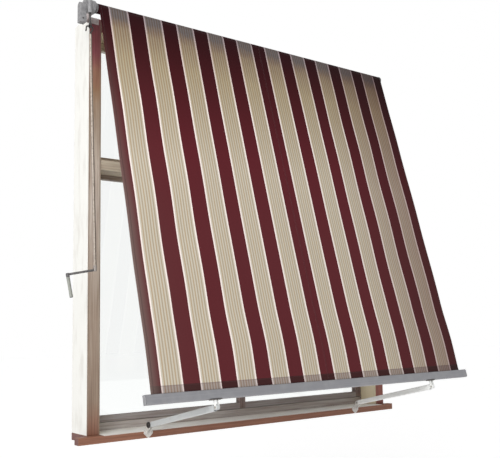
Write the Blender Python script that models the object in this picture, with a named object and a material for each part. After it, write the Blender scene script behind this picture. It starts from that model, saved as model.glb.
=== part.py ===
"""A drop-arm fabric awning on its wooden window frame.

The origin is the middle of the frame's back face, at the sill's underside.
X runs to the right, Y into the house and Z up, all in metres.
"""
import math

import bmesh
import bpy
from mathutils import Vector

# Clearances
GAP = 0.0003
LEAF_GAP = 0.003
RUNNING_GAP = 0.0003

# How far a piece reaches into what it is one with, and a cut past what it cuts
LAP = 0.001
CUT_PAST = 0.01

# Window frame
OPENING_WIDTH = 2.230
JAMB_WIDTH = 0.080
FRAME_DEPTH = 0.200
FRAME_TOP = 2.480
HEAD_HEIGHT = 0.080
SILL_THICKNESS = 0.040
SILL_PROJECTION = 0.058
SILL_HORN_LEFT = 0.075
SILL_HORN_RIGHT = 0.031
HORN_DEPTH = 0.052
BOTTOM_RAIL_HEIGHT = 0.045
BOTTOM_RAIL_DEPTH = 0.050
TRANSOM_BOTTOM = 1.561
TRANSOM_HEIGHT = 0.059
TRANSOM_SETBACK = 0.005
WOOD_EASING = 0.002

# Leaves and top light
LEAF_DEPTH = 0.044
LEAF_SETBACK = 0.006
HINGE_STILE_WIDTH = 0.053
MEETING_STILE_WIDTH = 0.0225
LEAF_BOTTOM_RAIL = 0.036
LEAF_TOP_RAIL = 0.061
LEAF_TOP_LAP = 0.036
TOP_LIGHT_RAIL = 0.050
GLASS_THICKNESS = 0.004
GLASS_LAP = 0.008

# Leaf hinges
HINGE_FROM_BOTTOM = 0.262
HINGE_FROM_TOP = 0.297
HINGE_BARREL_RADIUS = 0.005
HINGE_BARREL_LENGTH = 0.030
HINGE_PIN_RADIUS = 0.0022
HINGE_PLATE = 0.002
HINGE_PLATE_WIDTH = 0.028

# Roller and cloth
ROLLER_FRONT = 0.126
ROLLER_ABOVE_FRAME = 0.002
TUBE_RADIUS = 0.025
TUBE_WALL = 0.0015
TUBE_PAST_LEFT = 0.099
TUBE_PAST_RIGHT = 0.035
CLOTH_INSET_LEFT = 0.006
CLOTH_INSET_RIGHT = 0.007
CLOTH_THICKNESS = 0.0010
CLOTH_TURNS = 4
CLOTH_TILT = math.radians(15.0)
CLOTH_DROP = 2.257
HEM_HEIGHT = 0.038
HEM_LAYERS = 2
BELLY = 0.006
BELLY_REACH = 0.45

# Roller ends and wall brackets
FLANGE_RADIUS = 0.031
FLANGE_THICKNESS = 0.004
PLUG_LENGTH = 0.040
SHAFT_RADIUS = 0.006
PLATE_THICKNESS = 0.005
BRACKET_NOSE = 0.024
FOOT_LENGTH = 0.088
FOOT_HEIGHT = 0.038
FOOT_BELOW_TOP = 0.002
NOSE_ABOVE_FOOT = 0.012

# Winch
WINCH_RADIUS = 0.040
WINCH_WIDTH = 0.060
WINCH_WALL = 0.003
WINCH_ROUND = 0.006
WHEEL_RADIUS = 0.0345
WHEEL_WIDTH = 0.010
WHEEL_TEETH = 28
WHEEL_PLAY = 0.004
TOOTH_DEPTH = 0.002
WORM_RADIUS = 0.007
WORM_BACKLASH = 0.0005
WORM_PITCH = 0.006
WORM_TURNS = 7
THREAD_DEPTH = 0.0015
COLLAR_START = 0.048
COLLAR_LIP = 0.0012
STEM_RADIUS = 0.006
BOSS_RADIUS = 0.013
BOSS_BELOW = 0.057
BOSS_ABOVE = 0.030
COVER_WIDTH = 0.036
COVER_FLANGE = 0.003
COVER_BELOW = 0.110
COVER_ABOVE = 0.010
COVER_FRONT = 0.029
COVER_DEPTH = 0.044
COVER_SCREW_ABOVE = 0.021
EYE_BELOW = 0.132
EYE_RADIUS = 0.0139
EYE_WIRE = 0.0042

# Crank
ROD_LEAN = math.radians(1.64)
ROD_LENGTH = 1.393
ROD_RADIUS = 0.008
ROD_WALL = 0.0015
HOOK_WIRE = 0.0042
HOOK_LENGTH = 0.044
HOOK_LIP = 0.002
HOOK_PLUG = 0.030
CRANK_ARM_LENGTH = 0.156
CRANK_ARM_SLOPE = math.radians(10.3)
CRANK_ARM_TURN = math.radians(8.6)
CRANK_ARM_RADIUS = 0.0065
KNUCKLE_RADIUS = 0.010
KNUCKLE_SLOT = 0.009
KNUCKLE_NECK = 0.024
KNUCKLE_PLUG = 0.050
KNUCKLE_DOME = 0.0095
TONGUE_RADIUS = 0.0075
TONGUE_REACH = 0.016
RIVET_RADIUS = 0.003
HANDLE_CORE = 0.005
HANDLE_NECK = 0.014
HANDLE_FLANGE = 0.003
GRIP_RADIUS = 0.0098
GRIP_LENGTH = 0.108

# Front bar
BAR_PAST_LEFT = 0.036
BAR_PAST_RIGHT = 0.059
BAR_CAP = 0.003
BAR_HEIGHT = 0.050
BAR_FRONT = 0.010
BAR_BACK = 0.016
BAR_ROUND = 0.008
BAR_WALL = 0.0015
SLOT_WIDTH = 0.004
SLOT_DEPTH = 0.012

# Drop arms
ARM_INSET = 0.277
LOWER_PIVOT_OUT = 0.030
LOWER_PIVOT_ABOVE = 0.037
UPPER_PIVOT_BELOW = 0.042
ARM_WIDTH = 0.022
ARM_HEIGHT_LOW = 0.030
ARM_HEIGHT_HIGH = 0.034
ARM_WALL = 0.002
ARM_CORNER = 0.006
ARM_SETBACK = 0.018
EYE_END_RADIUS = 0.013
EYE_END_LAP = 0.030
EYE_END_PLAY = 0.003
PIN_RADIUS = 0.004
PIN_HEAD = 0.0072
PIN_HEAD_HEIGHT = 0.003
PIN_CAP = 0.018
PIN_CAP_HEIGHT = 0.009
RIVETED_END = 0.006
RIVETED_HEIGHT = 0.002
CHEEK = 0.003
CHEEK_RADIUS = 0.012
PRONG_RADIUS = 0.008
SHIELD_WIDTH = 0.058
SHIELD_THICKNESS = 0.004
SHIELD_ABOVE = 0.006
SHIELD_TIP = 0.001
SHIELD_TIP_WIDTH = 0.008
BAR_PLATE_LENGTH = 0.072
BAR_PLATE_WIDTH = 0.022
BAR_PLATE_THICKNESS = 0.003
BAR_SCREW_SPACING = 0.054
BAR_SCREW_BITE = 0.008

# Screws
SCREW_RADIUS = 0.002
SCREW_HEAD = 0.0045
SCREW_HEAD_HEIGHT = 0.0022
SCREW_LENGTH = 0.022

X_AXIS = Vector((1, 0, 0))
Y_AXIS = Vector((0, 1, 0))
Z_AXIS = Vector((0, 0, 1))

# Places that follow from the sizes above
HALF_OPENING = OPENING_WIDTH / 2
FRAME_FRONT = -FRAME_DEPTH
SILL_FRONT = FRAME_FRONT - SILL_PROJECTION
RAIL_TOP = SILL_THICKNESS + BOTTOM_RAIL_HEIGHT
TRANSOM_TOP = TRANSOM_BOTTOM + TRANSOM_HEIGHT
HEAD_BOTTOM = FRAME_TOP - HEAD_HEIGHT
LEAF_BACK = -LEAF_SETBACK
LEAF_FRONT = LEAF_BACK - LEAF_DEPTH
REBATE_FRONT = LEAF_FRONT - LEAF_GAP
LEAF_BOTTOM = RAIL_TOP + LEAF_GAP
LEAF_TOP = TRANSOM_BOTTOM + LEAF_TOP_LAP
HINGE_HEIGHTS = {"low": LEAF_BOTTOM + HINGE_FROM_BOTTOM, "high": LEAF_TOP - HINGE_FROM_TOP}
FOOT_TOP = FRAME_TOP - FOOT_BELOW_TOP
FOOT_BOTTOM = FOOT_TOP - FOOT_HEIGHT
ROLLER_Z = FRAME_TOP + ROLLER_ABOVE_FRAME
BOSS_BOTTOM = ROLLER_Z - BOSS_BELOW
BOSS_TOP = ROLLER_Z + BOSS_ABOVE
COVER_BOTTOM = ROLLER_Z - COVER_BELOW
COVER_TOP = ROLLER_Z + COVER_ABOVE
EYE_Z = ROLLER_Z - EYE_BELOW
TUBE_LEFT = -HALF_OPENING - TUBE_PAST_LEFT
TUBE_RIGHT = HALF_OPENING + TUBE_PAST_RIGHT
CLOTH_LEFT = TUBE_LEFT + CLOTH_INSET_LEFT
CLOTH_RIGHT = TUBE_RIGHT - CLOTH_INSET_RIGHT
BAR_LEFT = CLOTH_LEFT - BAR_PAST_LEFT
BAR_RIGHT = CLOTH_RIGHT + BAR_PAST_RIGHT
ARM_SPACING = OPENING_WIDTH - 2 * ARM_INSET
SHIELD_TOP = SILL_THICKNESS + SHIELD_ABOVE
UPPER_PIVOT_DROP = BAR_HEIGHT + UPPER_PIVOT_BELOW
ROLLER = Vector((0, FRAME_FRONT - ROLLER_FRONT, ROLLER_Z))
ROLL_RADIUS = TUBE_RADIUS + GAP + CLOTH_TURNS * CLOTH_THICKNESS
CLOTH_DOWN = Vector((0, -math.sin(CLOTH_TILT), -math.cos(CLOTH_TILT)))
CLOTH_OUT = Vector((0, -math.cos(CLOTH_TILT), math.sin(CLOTH_TILT)))
CLOTH_TOP = ROLLER + CLOTH_OUT * (ROLL_RADIUS + GAP + CLOTH_THICKNESS / 2)
BAR_TOP = CLOTH_TOP + CLOTH_DOWN * CLOTH_DROP
LOWER_PIVOT = Vector((0, SILL_FRONT - LOWER_PIVOT_OUT, SILL_THICKNESS + LOWER_PIVOT_ABOVE))
UPPER_PIVOT = BAR_TOP + CLOTH_DOWN * UPPER_PIVOT_DROP
ARM_LENGTH = (UPPER_PIVOT - LOWER_PIVOT).length
ARM_OUT = (UPPER_PIVOT - LOWER_PIVOT).normalized()
ARM_UP = X_AXIS.cross(ARM_OUT) * -1
EYE_THICKNESS = ARM_WIDTH - 2 * ARM_WALL - 2 * GAP
WORM_Y = ROLLER.y - WHEEL_RADIUS - WORM_RADIUS - WORM_BACKLASH
PLATE_OUTER_LEFT = TUBE_LEFT - FLANGE_THICKNESS - PLATE_THICKNESS - 2 * GAP
WINCH_RIGHT = PLATE_OUTER_LEFT - GAP
WINCH_LEFT = WINCH_RIGHT - WINCH_WIDTH
WHEEL_X = WINCH_LEFT + WINCH_WALL + WHEEL_PLAY + WHEEL_WIDTH / 2
ROD_DOWN = Vector((math.sin(ROD_LEAN), 0, -math.cos(ROD_LEAN)))
EYE = Vector((WHEEL_X, WORM_Y, ROLLER_Z)) + ROD_DOWN * (ROLLER_Z - EYE_Z) / math.cos(ROD_LEAN)
HOOK_SEAT = EYE - Z_AXIS * (EYE_RADIUS - EYE_WIRE - HOOK_WIRE - GAP)
ELBOW = HOOK_SEAT + ROD_DOWN * ROD_LENGTH
CRANK_OUT = Vector((
    -math.cos(CRANK_ARM_SLOPE) * math.cos(CRANK_ARM_TURN),
    math.cos(CRANK_ARM_SLOPE) * math.sin(CRANK_ARM_TURN),
    -math.sin(CRANK_ARM_SLOPE),
))
WRIST = ELBOW + CRANK_OUT * CRANK_ARM_LENGTH
KNUCKLE_AXIS = CRANK_OUT.cross(ROD_DOWN).normalized()
HANDLE_DOWN = KNUCKLE_AXIS.cross(CRANK_OUT).normalized()

FINISHES = {
    "wood": ((0.30, 0.17, 0.11), 0.55, 0.0),
    "glass": ((0.85, 0.90, 0.90), 0.05, 0.0),
    "hinge_steel": ((0.45, 0.42, 0.35), 0.40, 0.9),
    "casting": ((0.42, 0.42, 0.44), 0.50, 0.2),
    "steel": ((0.50, 0.50, 0.50), 0.35, 0.9),
    "aluminium": ((0.45, 0.45, 0.47), 0.40, 0.8),
    "white_paint": ((0.75, 0.76, 0.76), 0.40, 0.0),
    "cloth": ((0.35, 0.10, 0.12), 0.90, 0.0),
    "grey_plastic": ((0.35, 0.36, 0.35), 0.50, 0.0),
    "dark_plastic": ((0.10, 0.10, 0.10), 0.50, 0.0),
}


def material(name):
    """The finish of that name, made once."""
    found = bpy.data.materials.get(name)
    if found:
        return found
    colour, roughness, metallic = FINISHES[name]
    made = bpy.data.materials.new(name)
    made.use_nodes = True
    shader = made.node_tree.nodes["Principled BSDF"]
    shader.inputs["Base Color"].default_value = (*colour, 1.0)
    shader.inputs["Roughness"].default_value = roughness
    shader.inputs["Metallic"].default_value = metallic
    return made


def add_object(name, shape, finish, pivot=None):
    """Make an object of a bmesh, with its origin at pivot."""
    pivot = Vector(pivot) if pivot else Vector((0, 0, 0))
    bmesh.ops.recalc_face_normals(shape, faces=shape.faces)
    bmesh.ops.translate(shape, vec=-pivot, verts=shape.verts)
    mesh = bpy.data.meshes.new(name)
    shape.to_mesh(mesh)
    shape.free()
    obj = bpy.data.objects.new(name, mesh)
    obj.location = pivot
    bpy.context.scene.collection.objects.link(obj)
    mesh.materials.append(material(finish).copy())
    mesh.shade_smooth()
    mesh.set_sharp_from_angle(angle=math.radians(35))
    return obj


def combine(obj, shape, operation):
    """Cut a shape from an object, or join one to it, with a hidden helper."""
    helper = add_object(obj.name + "_" + operation.lower(), shape, "steel")
    helper.hide_render = True
    helper.display_type = 'WIRE'
    boolean = obj.modifiers.new(operation.title(), 'BOOLEAN')
    boolean.operation = operation
    boolean.solver = 'EXACT'
    boolean.use_self = False
    boolean.object = helper


def cut(obj, shape):
    combine(obj, shape, 'DIFFERENCE')


def join(obj, shape):
    combine(obj, shape, 'UNION')


def ease(obj, width):
    """Take the sharp edge off a piece of wood."""
    bevel = obj.modifiers.new("Eased edges", 'BEVEL')
    bevel.width = width
    bevel.segments = 1
    bevel.limit_method = 'ANGLE'
    bevel.angle_limit = math.radians(60)


def bridge(shape, near, far):
    """Faces between two rings of points, either of which may be one point."""
    count = max(len(near), len(far))
    for i in range(count):
        j = (i + 1) % count
        corners = [near[i % len(near)], near[j % len(near)], far[j % len(far)], far[i % len(far)]]
        face = list(dict.fromkeys(corners))
        shape.faces.new(face)


def block(low, high):
    """A box between two corners."""
    (x0, y0, z0), (x1, y1, z1) = low, high
    outline = [Vector((x0, y0, z0)), Vector((x1, y0, z0)), Vector((x1, y1, z0)), Vector((x0, y1, z0))]
    return prism(outline, Z_AXIS * (z1 - z0))


def prism(outline, travel, shape=None):
    """A flat outline, swept straight along travel."""
    shape = shape or bmesh.new()
    near = [shape.verts.new(point) for point in outline]
    far = [shape.verts.new(point + travel) for point in outline]
    shape.faces.new(near)
    shape.faces.new(far)
    bridge(shape, near, far)
    return shape


def hollow_loft(near_outer, near_inner, far_outer, far_inner):
    """A tube between two sections, each an outer and an inner outline."""
    shape = bmesh.new()
    loops = []
    for outline in (near_outer, far_outer, far_inner, near_inner):
        loops.append([shape.verts.new(point) for point in outline])
    for i, loop in enumerate(loops):
        bridge(shape, loop, loops[(i + 1) % len(loops)])
    return shape


def lathe(profile, base, axis, segments, closed=False, shape=None):
    """Turn (radius, height) points about an axis through base."""
    shape = shape or bmesh.new()
    flat_start = profile[0][0] == 0 and profile[0][1] == profile[1][1]
    flat_end = profile[-1][0] == 0 and profile[-1][1] == profile[-2][1]
    profile = profile[1 if flat_start else 0:len(profile) - (1 if flat_end else 0)]
    axis = Vector(axis).normalized()
    side = axis.orthogonal().normalized()
    across = axis.cross(side)
    rings = []
    for radius, height in profile:
        centre = Vector(base) + axis * height
        if radius == 0:
            rings.append([shape.verts.new(centre)])
            continue
        ring = []
        for i in range(segments):
            angle = 2 * math.pi * i / segments
            outward = side * math.cos(angle) + across * math.sin(angle)
            ring.append(shape.verts.new(centre + outward * radius))
        rings.append(ring)
    for near, far in zip(rings, rings[1:]):
        bridge(shape, near, far)
    if flat_start:
        shape.faces.new(rings[0])
    if flat_end:
        shape.faces.new(rings[-1])
    if closed:
        bridge(shape, rings[-1], rings[0])
    return shape


def cylinder(start, end, radius, segments=16, shape=None):
    """A plain round bar between two points."""
    start = Vector(start)
    run = Vector(end) - start
    profile = [(0, 0), (radius, 0), (radius, run.length), (0, run.length)]
    return lathe(profile, start, run, segments, shape=shape)


def pipe(start, end, radius, bore, segments=20):
    """A round tube between two points."""
    start = Vector(start)
    run = Vector(end) - start
    profile = [(bore, 0), (radius, 0), (radius, run.length), (bore, run.length)]
    return lathe(profile, start, run, segments, closed=True)


def wire(points, radius, segments=10):
    """A round wire through points that lie in one plane across Y."""
    shape = bmesh.new()
    rings = []
    for i, point in enumerate(points):
        ahead = points[min(i + 1, len(points) - 1)] - points[max(i - 1, 0)]
        side = Y_AXIS.cross(ahead).normalized()
        ring = []
        for k in range(segments):
            angle = 2 * math.pi * k / segments
            ring.append(shape.verts.new(point + (side * math.cos(angle) + Y_AXIS * math.sin(angle)) * radius))
        rings.append(ring)
    for near, far in zip(rings, rings[1:]):
        bridge(shape, near, far)
    shape.faces.new(rings[0])
    shape.faces.new(rings[-1])
    return shape


def arc(centre, right, up, radius, first, last, steps):
    """Points on an arc, from one angle in degrees to another."""
    points = []
    for i in range(steps + 1):
        angle = math.radians(first + (last - first) * i / steps)
        points.append(centre + (right * math.cos(angle) + up * math.sin(angle)) * radius)
    return points


def screw(head, inward, length, shape):
    """A round-headed screw whose head is one with the plate that it seats on."""
    profile = [
        (0, -SCREW_HEAD_HEIGHT),
        (SCREW_HEAD * 0.7, -SCREW_HEAD_HEIGHT * 0.8),
        (SCREW_HEAD, -SCREW_HEAD_HEIGHT * 0.2),
        (SCREW_HEAD, GAP),
        (SCREW_RADIUS, GAP),
        (SCREW_RADIUS, length),
        (0, length + SCREW_RADIUS),
    ]
    return lathe(profile, head, inward, 12, shape=shape)


def screw_hole(head, inward, length, shape):
    """The hole that such a screw needs."""
    start = Vector(head) - Vector(inward) * SCREW_HEAD
    end = Vector(head) + Vector(inward) * (length + SCREW_RADIUS + 2 * GAP)
    return cylinder(start, end, SCREW_RADIUS + GAP, 12, shape=shape)


def wood(name, shape):
    """A wooden member with eased edges."""
    obj = add_object(name, shape, "wood")
    ease(obj, WOOD_EASING)
    return obj


def clear_scene():
    for obj in list(bpy.data.objects):
        bpy.data.objects.remove(obj, do_unlink=True)


def foot_screws(side):
    """Where the two screws of a wall bracket go, on the jamb that it meets."""
    plate_outer, inward = bracket_side(side)
    foot = sorted((plate_outer, plate_outer + inward * FOOT_LENGTH))
    jamb = sorted((side * HALF_OPENING, side * (HALF_OPENING + JAMB_WIDTH)))
    low = max(foot[0], jamb[0])
    high = min(foot[1], jamb[1])
    middle = (low + high) / 2
    reach = (high - low) / 4
    height = (FOOT_BOTTOM + FOOT_TOP) / 2
    front = FRAME_FRONT - GAP - PLATE_THICKNESS
    return [Vector((middle - reach, front, height)), Vector((middle + reach, front, height))]


def bracket_side(side):
    """A wall bracket's outer X, and the X direction of its foot."""
    if side < 0:
        return PLATE_OUTER_LEFT, 1
    return TUBE_RIGHT + FLANGE_THICKNESS + PLATE_THICKNESS + 2 * GAP, -1


def sill_screws():
    """Where the screws of the two sill brackets go."""
    heads = []
    for side in (-1, 1):
        for height in (SHIELD_TIP + CHEEK_RADIUS, SHIELD_TOP - CHEEK_RADIUS):
            heads.append(Vector((side * ARM_SPACING / 2, SILL_FRONT - GAP - SHIELD_THICKNESS, height)))
    return heads


def sill_board():
    """The sill, with a horn past each jamb that reaches back only as far as the wall."""
    half = HALF_OPENING + JAMB_WIDTH
    left_end = -half - SILL_HORN_LEFT
    right_end = half + SILL_HORN_RIGHT
    horn_back = SILL_FRONT + HORN_DEPTH
    corners = [
        (left_end, SILL_FRONT), (right_end, SILL_FRONT), (right_end, horn_back), (half, horn_back),
        (half, 0), (-half, 0), (-half, horn_back), (left_end, horn_back),
    ]
    outline = [Vector((x, y, 0)) for x, y in corners]
    sill = wood("sill_board", prism(outline, Z_AXIS * SILL_THICKNESS))
    holes = bmesh.new()
    for head in sill_screws():
        screw_hole(head, Y_AXIS, SCREW_LENGTH, holes)
    cut(sill, holes)


def window_frame():
    sill_board()
    for side, name in ((-1, "left_jamb"), (1, "right_jamb")):
        inner, outer = sorted((side * HALF_OPENING, side * (HALF_OPENING + JAMB_WIDTH)))
        jamb = wood(name, block((inner, FRAME_FRONT, SILL_THICKNESS + GAP), (outer, 0, FRAME_TOP)))
        holes = bmesh.new()
        for head in foot_screws(side):
            screw_hole(head, Y_AXIS, SCREW_LENGTH, holes)
        cut(jamb, holes)
    left = -HALF_OPENING + GAP
    right = HALF_OPENING - GAP
    low = (left, -BOTTOM_RAIL_DEPTH, SILL_THICKNESS + GAP)
    wood("bottom_rail", block(low, (right, 0, RAIL_TOP)))
    deep_rail("transom", TRANSOM_BOTTOM, TRANSOM_TOP, LEAF_TOP + LEAF_GAP)
    deep_rail("head_rail", HEAD_BOTTOM, FRAME_TOP, HEAD_BOTTOM)


def deep_rail(name, bottom, top, rebate_top):
    """A rail as deep as the frame, cut away at the back up to rebate_top for the leaves."""
    front = FRAME_FRONT + TRANSOM_SETBACK
    corners = [(front, bottom), (0, bottom), (0, top), (front, top)]
    if rebate_top > bottom:
        corners[1:2] = [(REBATE_FRONT, bottom), (REBATE_FRONT, rebate_top), (0, rebate_top)]
    outline = [Vector((-HALF_OPENING + GAP, y, z)) for y, z in corners]
    wood(name, prism(outline, X_AXIS * (OPENING_WIDTH - 2 * GAP)))


def top_light():
    """The fixed pane over the transom, in its own sash."""
    low = Vector((-HALF_OPENING + GAP, LEAF_FRONT, TRANSOM_TOP + GAP))
    high = Vector((HALF_OPENING - GAP, LEAF_BACK, HEAD_BOTTOM - GAP))
    sash = wood("top_light_sash", block(low, high))
    rail = Vector((TOP_LIGHT_RAIL, 0, TOP_LIGHT_RAIL))
    margin = Vector((0, LEAF_DEPTH, 0))
    cut(sash, block(low + rail - margin, high - rail + margin))
    inset = Vector((GAP, 0, GAP))
    middle = (LEAF_FRONT + LEAF_BACK) / 2
    pane_low = low + rail + inset
    pane_high = high - rail - inset
    pane_low.y = middle - GLASS_THICKNESS / 2
    pane_high.y = middle + GLASS_THICKNESS / 2
    add_object("top_light_glass", block(pane_low, pane_high), "glass")


def grooved_outline(inner, outer, back, front):
    """A member's section (across, Y): eased corners, and the pane's groove in its inner edge."""
    middle = (back + front) / 2
    half = GLASS_THICKNESS / 2 + GAP
    outward = 1 if outer > inner else -1
    depth = (GLASS_LAP + GAP) * outward
    ease_in = WOOD_EASING / 2
    ease_across = ease_in * outward
    return [
        (outer - ease_across, front), (outer, front + ease_in),
        (outer, back - ease_in), (outer - ease_across, back),
        (inner + ease_across, back), (inner, back - ease_in), (inner, middle + half),
        (inner + depth, middle + half), (inner + depth, middle - half), (inner, middle - half),
        (inner, front + ease_in), (inner + ease_across, front),
    ]


def leaf(side, name):
    """One casement leaf, hinged at its jamb and opening into the house."""
    bottom = LEAF_BOTTOM
    top = LEAF_TOP
    hinge_edge = side * (HALF_OPENING - LEAF_GAP)
    hinge_inner = hinge_edge - side * HINGE_STILE_WIDTH
    meeting_edge = side * LEAF_GAP / 3
    meeting_inner = meeting_edge + side * MEETING_STILE_WIDTH
    pivot = Vector((side * hinge_axis_x(), HINGE_BARREL_RADIUS + GAP, 0))
    stiles = (("hinge_stile", hinge_inner, hinge_edge), ("meeting_stile", meeting_inner, meeting_edge))
    for part, inner, outer in stiles:
        corners = grooved_outline(inner, outer, LEAF_BACK, LEAF_FRONT)
        outline = [Vector((x, y, bottom)) for x, y in corners]
        add_object(f"{name}_leaf_{part}", prism(outline, Z_AXIS * (top - bottom)), "wood", pivot)
    start = min(hinge_inner, meeting_inner) + GAP
    run = abs(hinge_inner - meeting_inner) - 2 * GAP
    rails = (("bottom_rail", bottom + LEAF_BOTTOM_RAIL, bottom), ("top_rail", top - LEAF_TOP_RAIL, top))
    for part, inner, outer in rails:
        corners = grooved_outline(inner, outer, LEAF_BACK, LEAF_FRONT)
        outline = [Vector((start, y, z)) for z, y in corners]
        add_object(f"{name}_leaf_{part}", prism(outline, X_AXIS * run), "wood", pivot)
    middle = (LEAF_FRONT + LEAF_BACK) / 2
    low = (start - GAP - GLASS_LAP, middle - GLASS_THICKNESS / 2, bottom + LEAF_BOTTOM_RAIL - GLASS_LAP)
    high = (start + run + GAP + GLASS_LAP, middle + GLASS_THICKNESS / 2, top - LEAF_TOP_RAIL + GLASS_LAP)
    add_object(f"{name}_leaf_glass", block(low, high), "glass", pivot)
    leaf_hinges(side, name, pivot)


def hinge_axis_x():
    return HALF_OPENING - LEAF_GAP / 2


def hinge_half(side, reach_in, plate_back, base):
    """A hinge's barrel and plate as one flat outline, and its height."""
    centre = Vector((side * hinge_axis_x(), HINGE_BARREL_RADIUS + GAP, base))
    right = X_AXIS * (-side if reach_in else side)
    tip = centre + right * (HINGE_BARREL_RADIUS + HINGE_PLATE_WIDTH)
    outline = arc(centre, right, Y_AXIS, HINGE_BARREL_RADIUS, 20, 250, 10)
    low = plate_back - HINGE_PLATE
    near = centre + right * HINGE_BARREL_RADIUS * 0.8
    for x, y in ((centre.x, low), (tip.x, low), (tip.x, plate_back), (near.x, plate_back)):
        outline.append(Vector((x, y, base)))
    return outline


def leaf_hinges(side, name, pivot):
    """Each hinge's two halves: the frame's half has the pin, and the leaf's half sits on it."""
    half = Z_AXIS * HINGE_BARREL_LENGTH / 2
    for place, base in HINGE_HEIGHTS.items():
        outline = hinge_half(side, False, GAP + HINGE_PLATE, base)
        frame_half = add_object(f"{name}_frame_hinge_{place}", prism(outline, half), "hinge_steel")
        low = Vector((pivot.x, pivot.y, base)) + half / 2
        join(frame_half, cylinder(low, low + half * 1.2, HINGE_PIN_RADIUS, 12))
        start = base + HINGE_BARREL_LENGTH / 2 + GAP
        outline = hinge_half(side, True, LEAF_BACK + GAP + HINGE_PLATE, start)
        leaf_half = add_object(f"{name}_leaf_hinge_{place}", prism(outline, half), "hinge_steel", pivot)
        low.z = start - GAP
        cut(leaf_half, cylinder(low, low + half * 0.8, HINGE_PIN_RADIUS + RUNNING_GAP, 12))


def wall_bracket(side, name):
    """A foot on the jamb and a side plate that carries the roller's end."""
    plate_outer, inward = bracket_side(side)
    wall = FRAME_FRONT - GAP
    low_x, high_x = sorted((plate_outer - inward * LAP, plate_outer + inward * FOOT_LENGTH))
    foot = block((low_x, wall - PLATE_THICKNESS, FOOT_BOTTOM), (high_x, wall, FOOT_TOP))
    bracket = add_object(name, foot, "casting")
    start = min(plate_outer, plate_outer + inward * PLATE_THICKNESS)
    centre = Vector((start, ROLLER.y, ROLLER.z))
    outline = [
        Vector((start, wall - LAP, FOOT_BOTTOM + LAP)),
        Vector((start, wall - LAP, FOOT_TOP + NOSE_ABOVE_FOOT)),
    ]
    outline += arc(centre, Y_AXIS, Z_AXIS, BRACKET_NOSE, 80, 280, 12)
    join(bracket, prism(outline, X_AXIS * PLATE_THICKNESS))
    bore_start = centre - X_AXIS * CUT_PAST
    bore_end = centre + X_AXIS * (PLATE_THICKNESS + CUT_PAST)
    cut(bracket, cylinder(bore_start, bore_end, SHAFT_RADIUS + RUNNING_GAP))
    screws = bmesh.new()
    for head in foot_screws(side):
        screw(head, Y_AXIS, SCREW_LENGTH, screws)
    join(bracket, screws)


def winch():
    """The crank winch: a round casing, a side casing, a worm wheel and a worm shaft."""
    centre = Vector((WINCH_LEFT, ROLLER.y, ROLLER.z))
    dome = [
        (0, 0), (WINCH_RADIUS, 0), (WINCH_RADIUS, WINCH_WIDTH - WINCH_ROUND),
        (WINCH_RADIUS - WINCH_ROUND * 0.3, WINCH_WIDTH - WINCH_ROUND * 0.3),
        (WINCH_RADIUS - WINCH_ROUND, WINCH_WIDTH), (0, WINCH_WIDTH),
    ]
    case = add_object("winch_case", lathe(dome, centre, X_AXIS, 32), "casting")
    on_axis = Vector((WHEEL_X, WORM_Y, ROLLER_Z))
    per_z = ROD_DOWN / math.cos(ROD_LEAN)
    boss_low = on_axis + per_z * (ROLLER_Z - BOSS_BOTTOM)
    boss_high = on_axis + per_z * (ROLLER_Z - BOSS_TOP)
    join(case, cylinder(boss_low, boss_high, BOSS_RADIUS, 20))
    pocket_depth = WINCH_WALL + 2 * WHEEL_PLAY + WHEEL_WIDTH
    pocket_radius = WHEEL_RADIUS + THREAD_DEPTH
    shaft_hole = SHAFT_RADIUS + RUNNING_GAP
    hollow = [
        (0, -CUT_PAST), (pocket_radius, -CUT_PAST), (pocket_radius, pocket_depth),
        (shaft_hole, pocket_depth), (shaft_hole, WINCH_WIDTH + CUT_PAST), (0, WINCH_WIDTH + CUT_PAST),
    ]
    cut(case, lathe(hollow, centre, X_AXIS, 28))
    bore_top = on_axis + per_z * (ROLLER_Z - BOSS_TOP + WINCH_WALL)
    cut(case, cylinder(boss_low + ROD_DOWN * CUT_PAST, bore_top, WORM_RADIUS + THREAD_DEPTH, 20))
    winch_cover()
    worm_wheel()
    worm_shaft(on_axis, bore_top)


def winch_cover():
    """The side casing, hollow and round at the top, and the round flange that closes the winch."""
    right = WINCH_LEFT - GAP
    front = ROLLER.y - COVER_FRONT
    back = front + COVER_DEPTH
    outer = rounded_cover(right, front, back, 0)
    cover = add_object("winch_cover", prism(outer, -X_AXIS * COVER_WIDTH), "casting")
    centre = Vector((right, ROLLER.y, ROLLER.z))
    join(cover, cylinder(centre, centre - X_AXIS * COVER_FLANGE, WHEEL_RADIUS + THREAD_DEPTH, 32))
    inner = rounded_cover(right + CUT_PAST, front, back, WINCH_WALL)
    cut(cover, prism(inner, -X_AXIS * (COVER_WIDTH + CUT_PAST - WINCH_WALL)))
    head = Vector((right - COVER_WIDTH * 0.56, front, COVER_BOTTOM + COVER_SCREW_ABOVE))
    join(cover, screw(head, Y_AXIS, WINCH_WALL * 2, bmesh.new()))


def rounded_cover(x, front, back, inset):
    """The side casing's outline across X, with a half-round top."""
    radius = (back - front) / 2 - inset
    centre = Vector((x, (front + back) / 2, COVER_TOP - (back - front) / 2))
    bottom = COVER_BOTTOM + inset
    outline = [Vector((x, back - inset, bottom)), Vector((x, front + inset, bottom))]
    return outline + arc(centre, -Y_AXIS, Z_AXIS, radius, 0, 180, 10)


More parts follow.
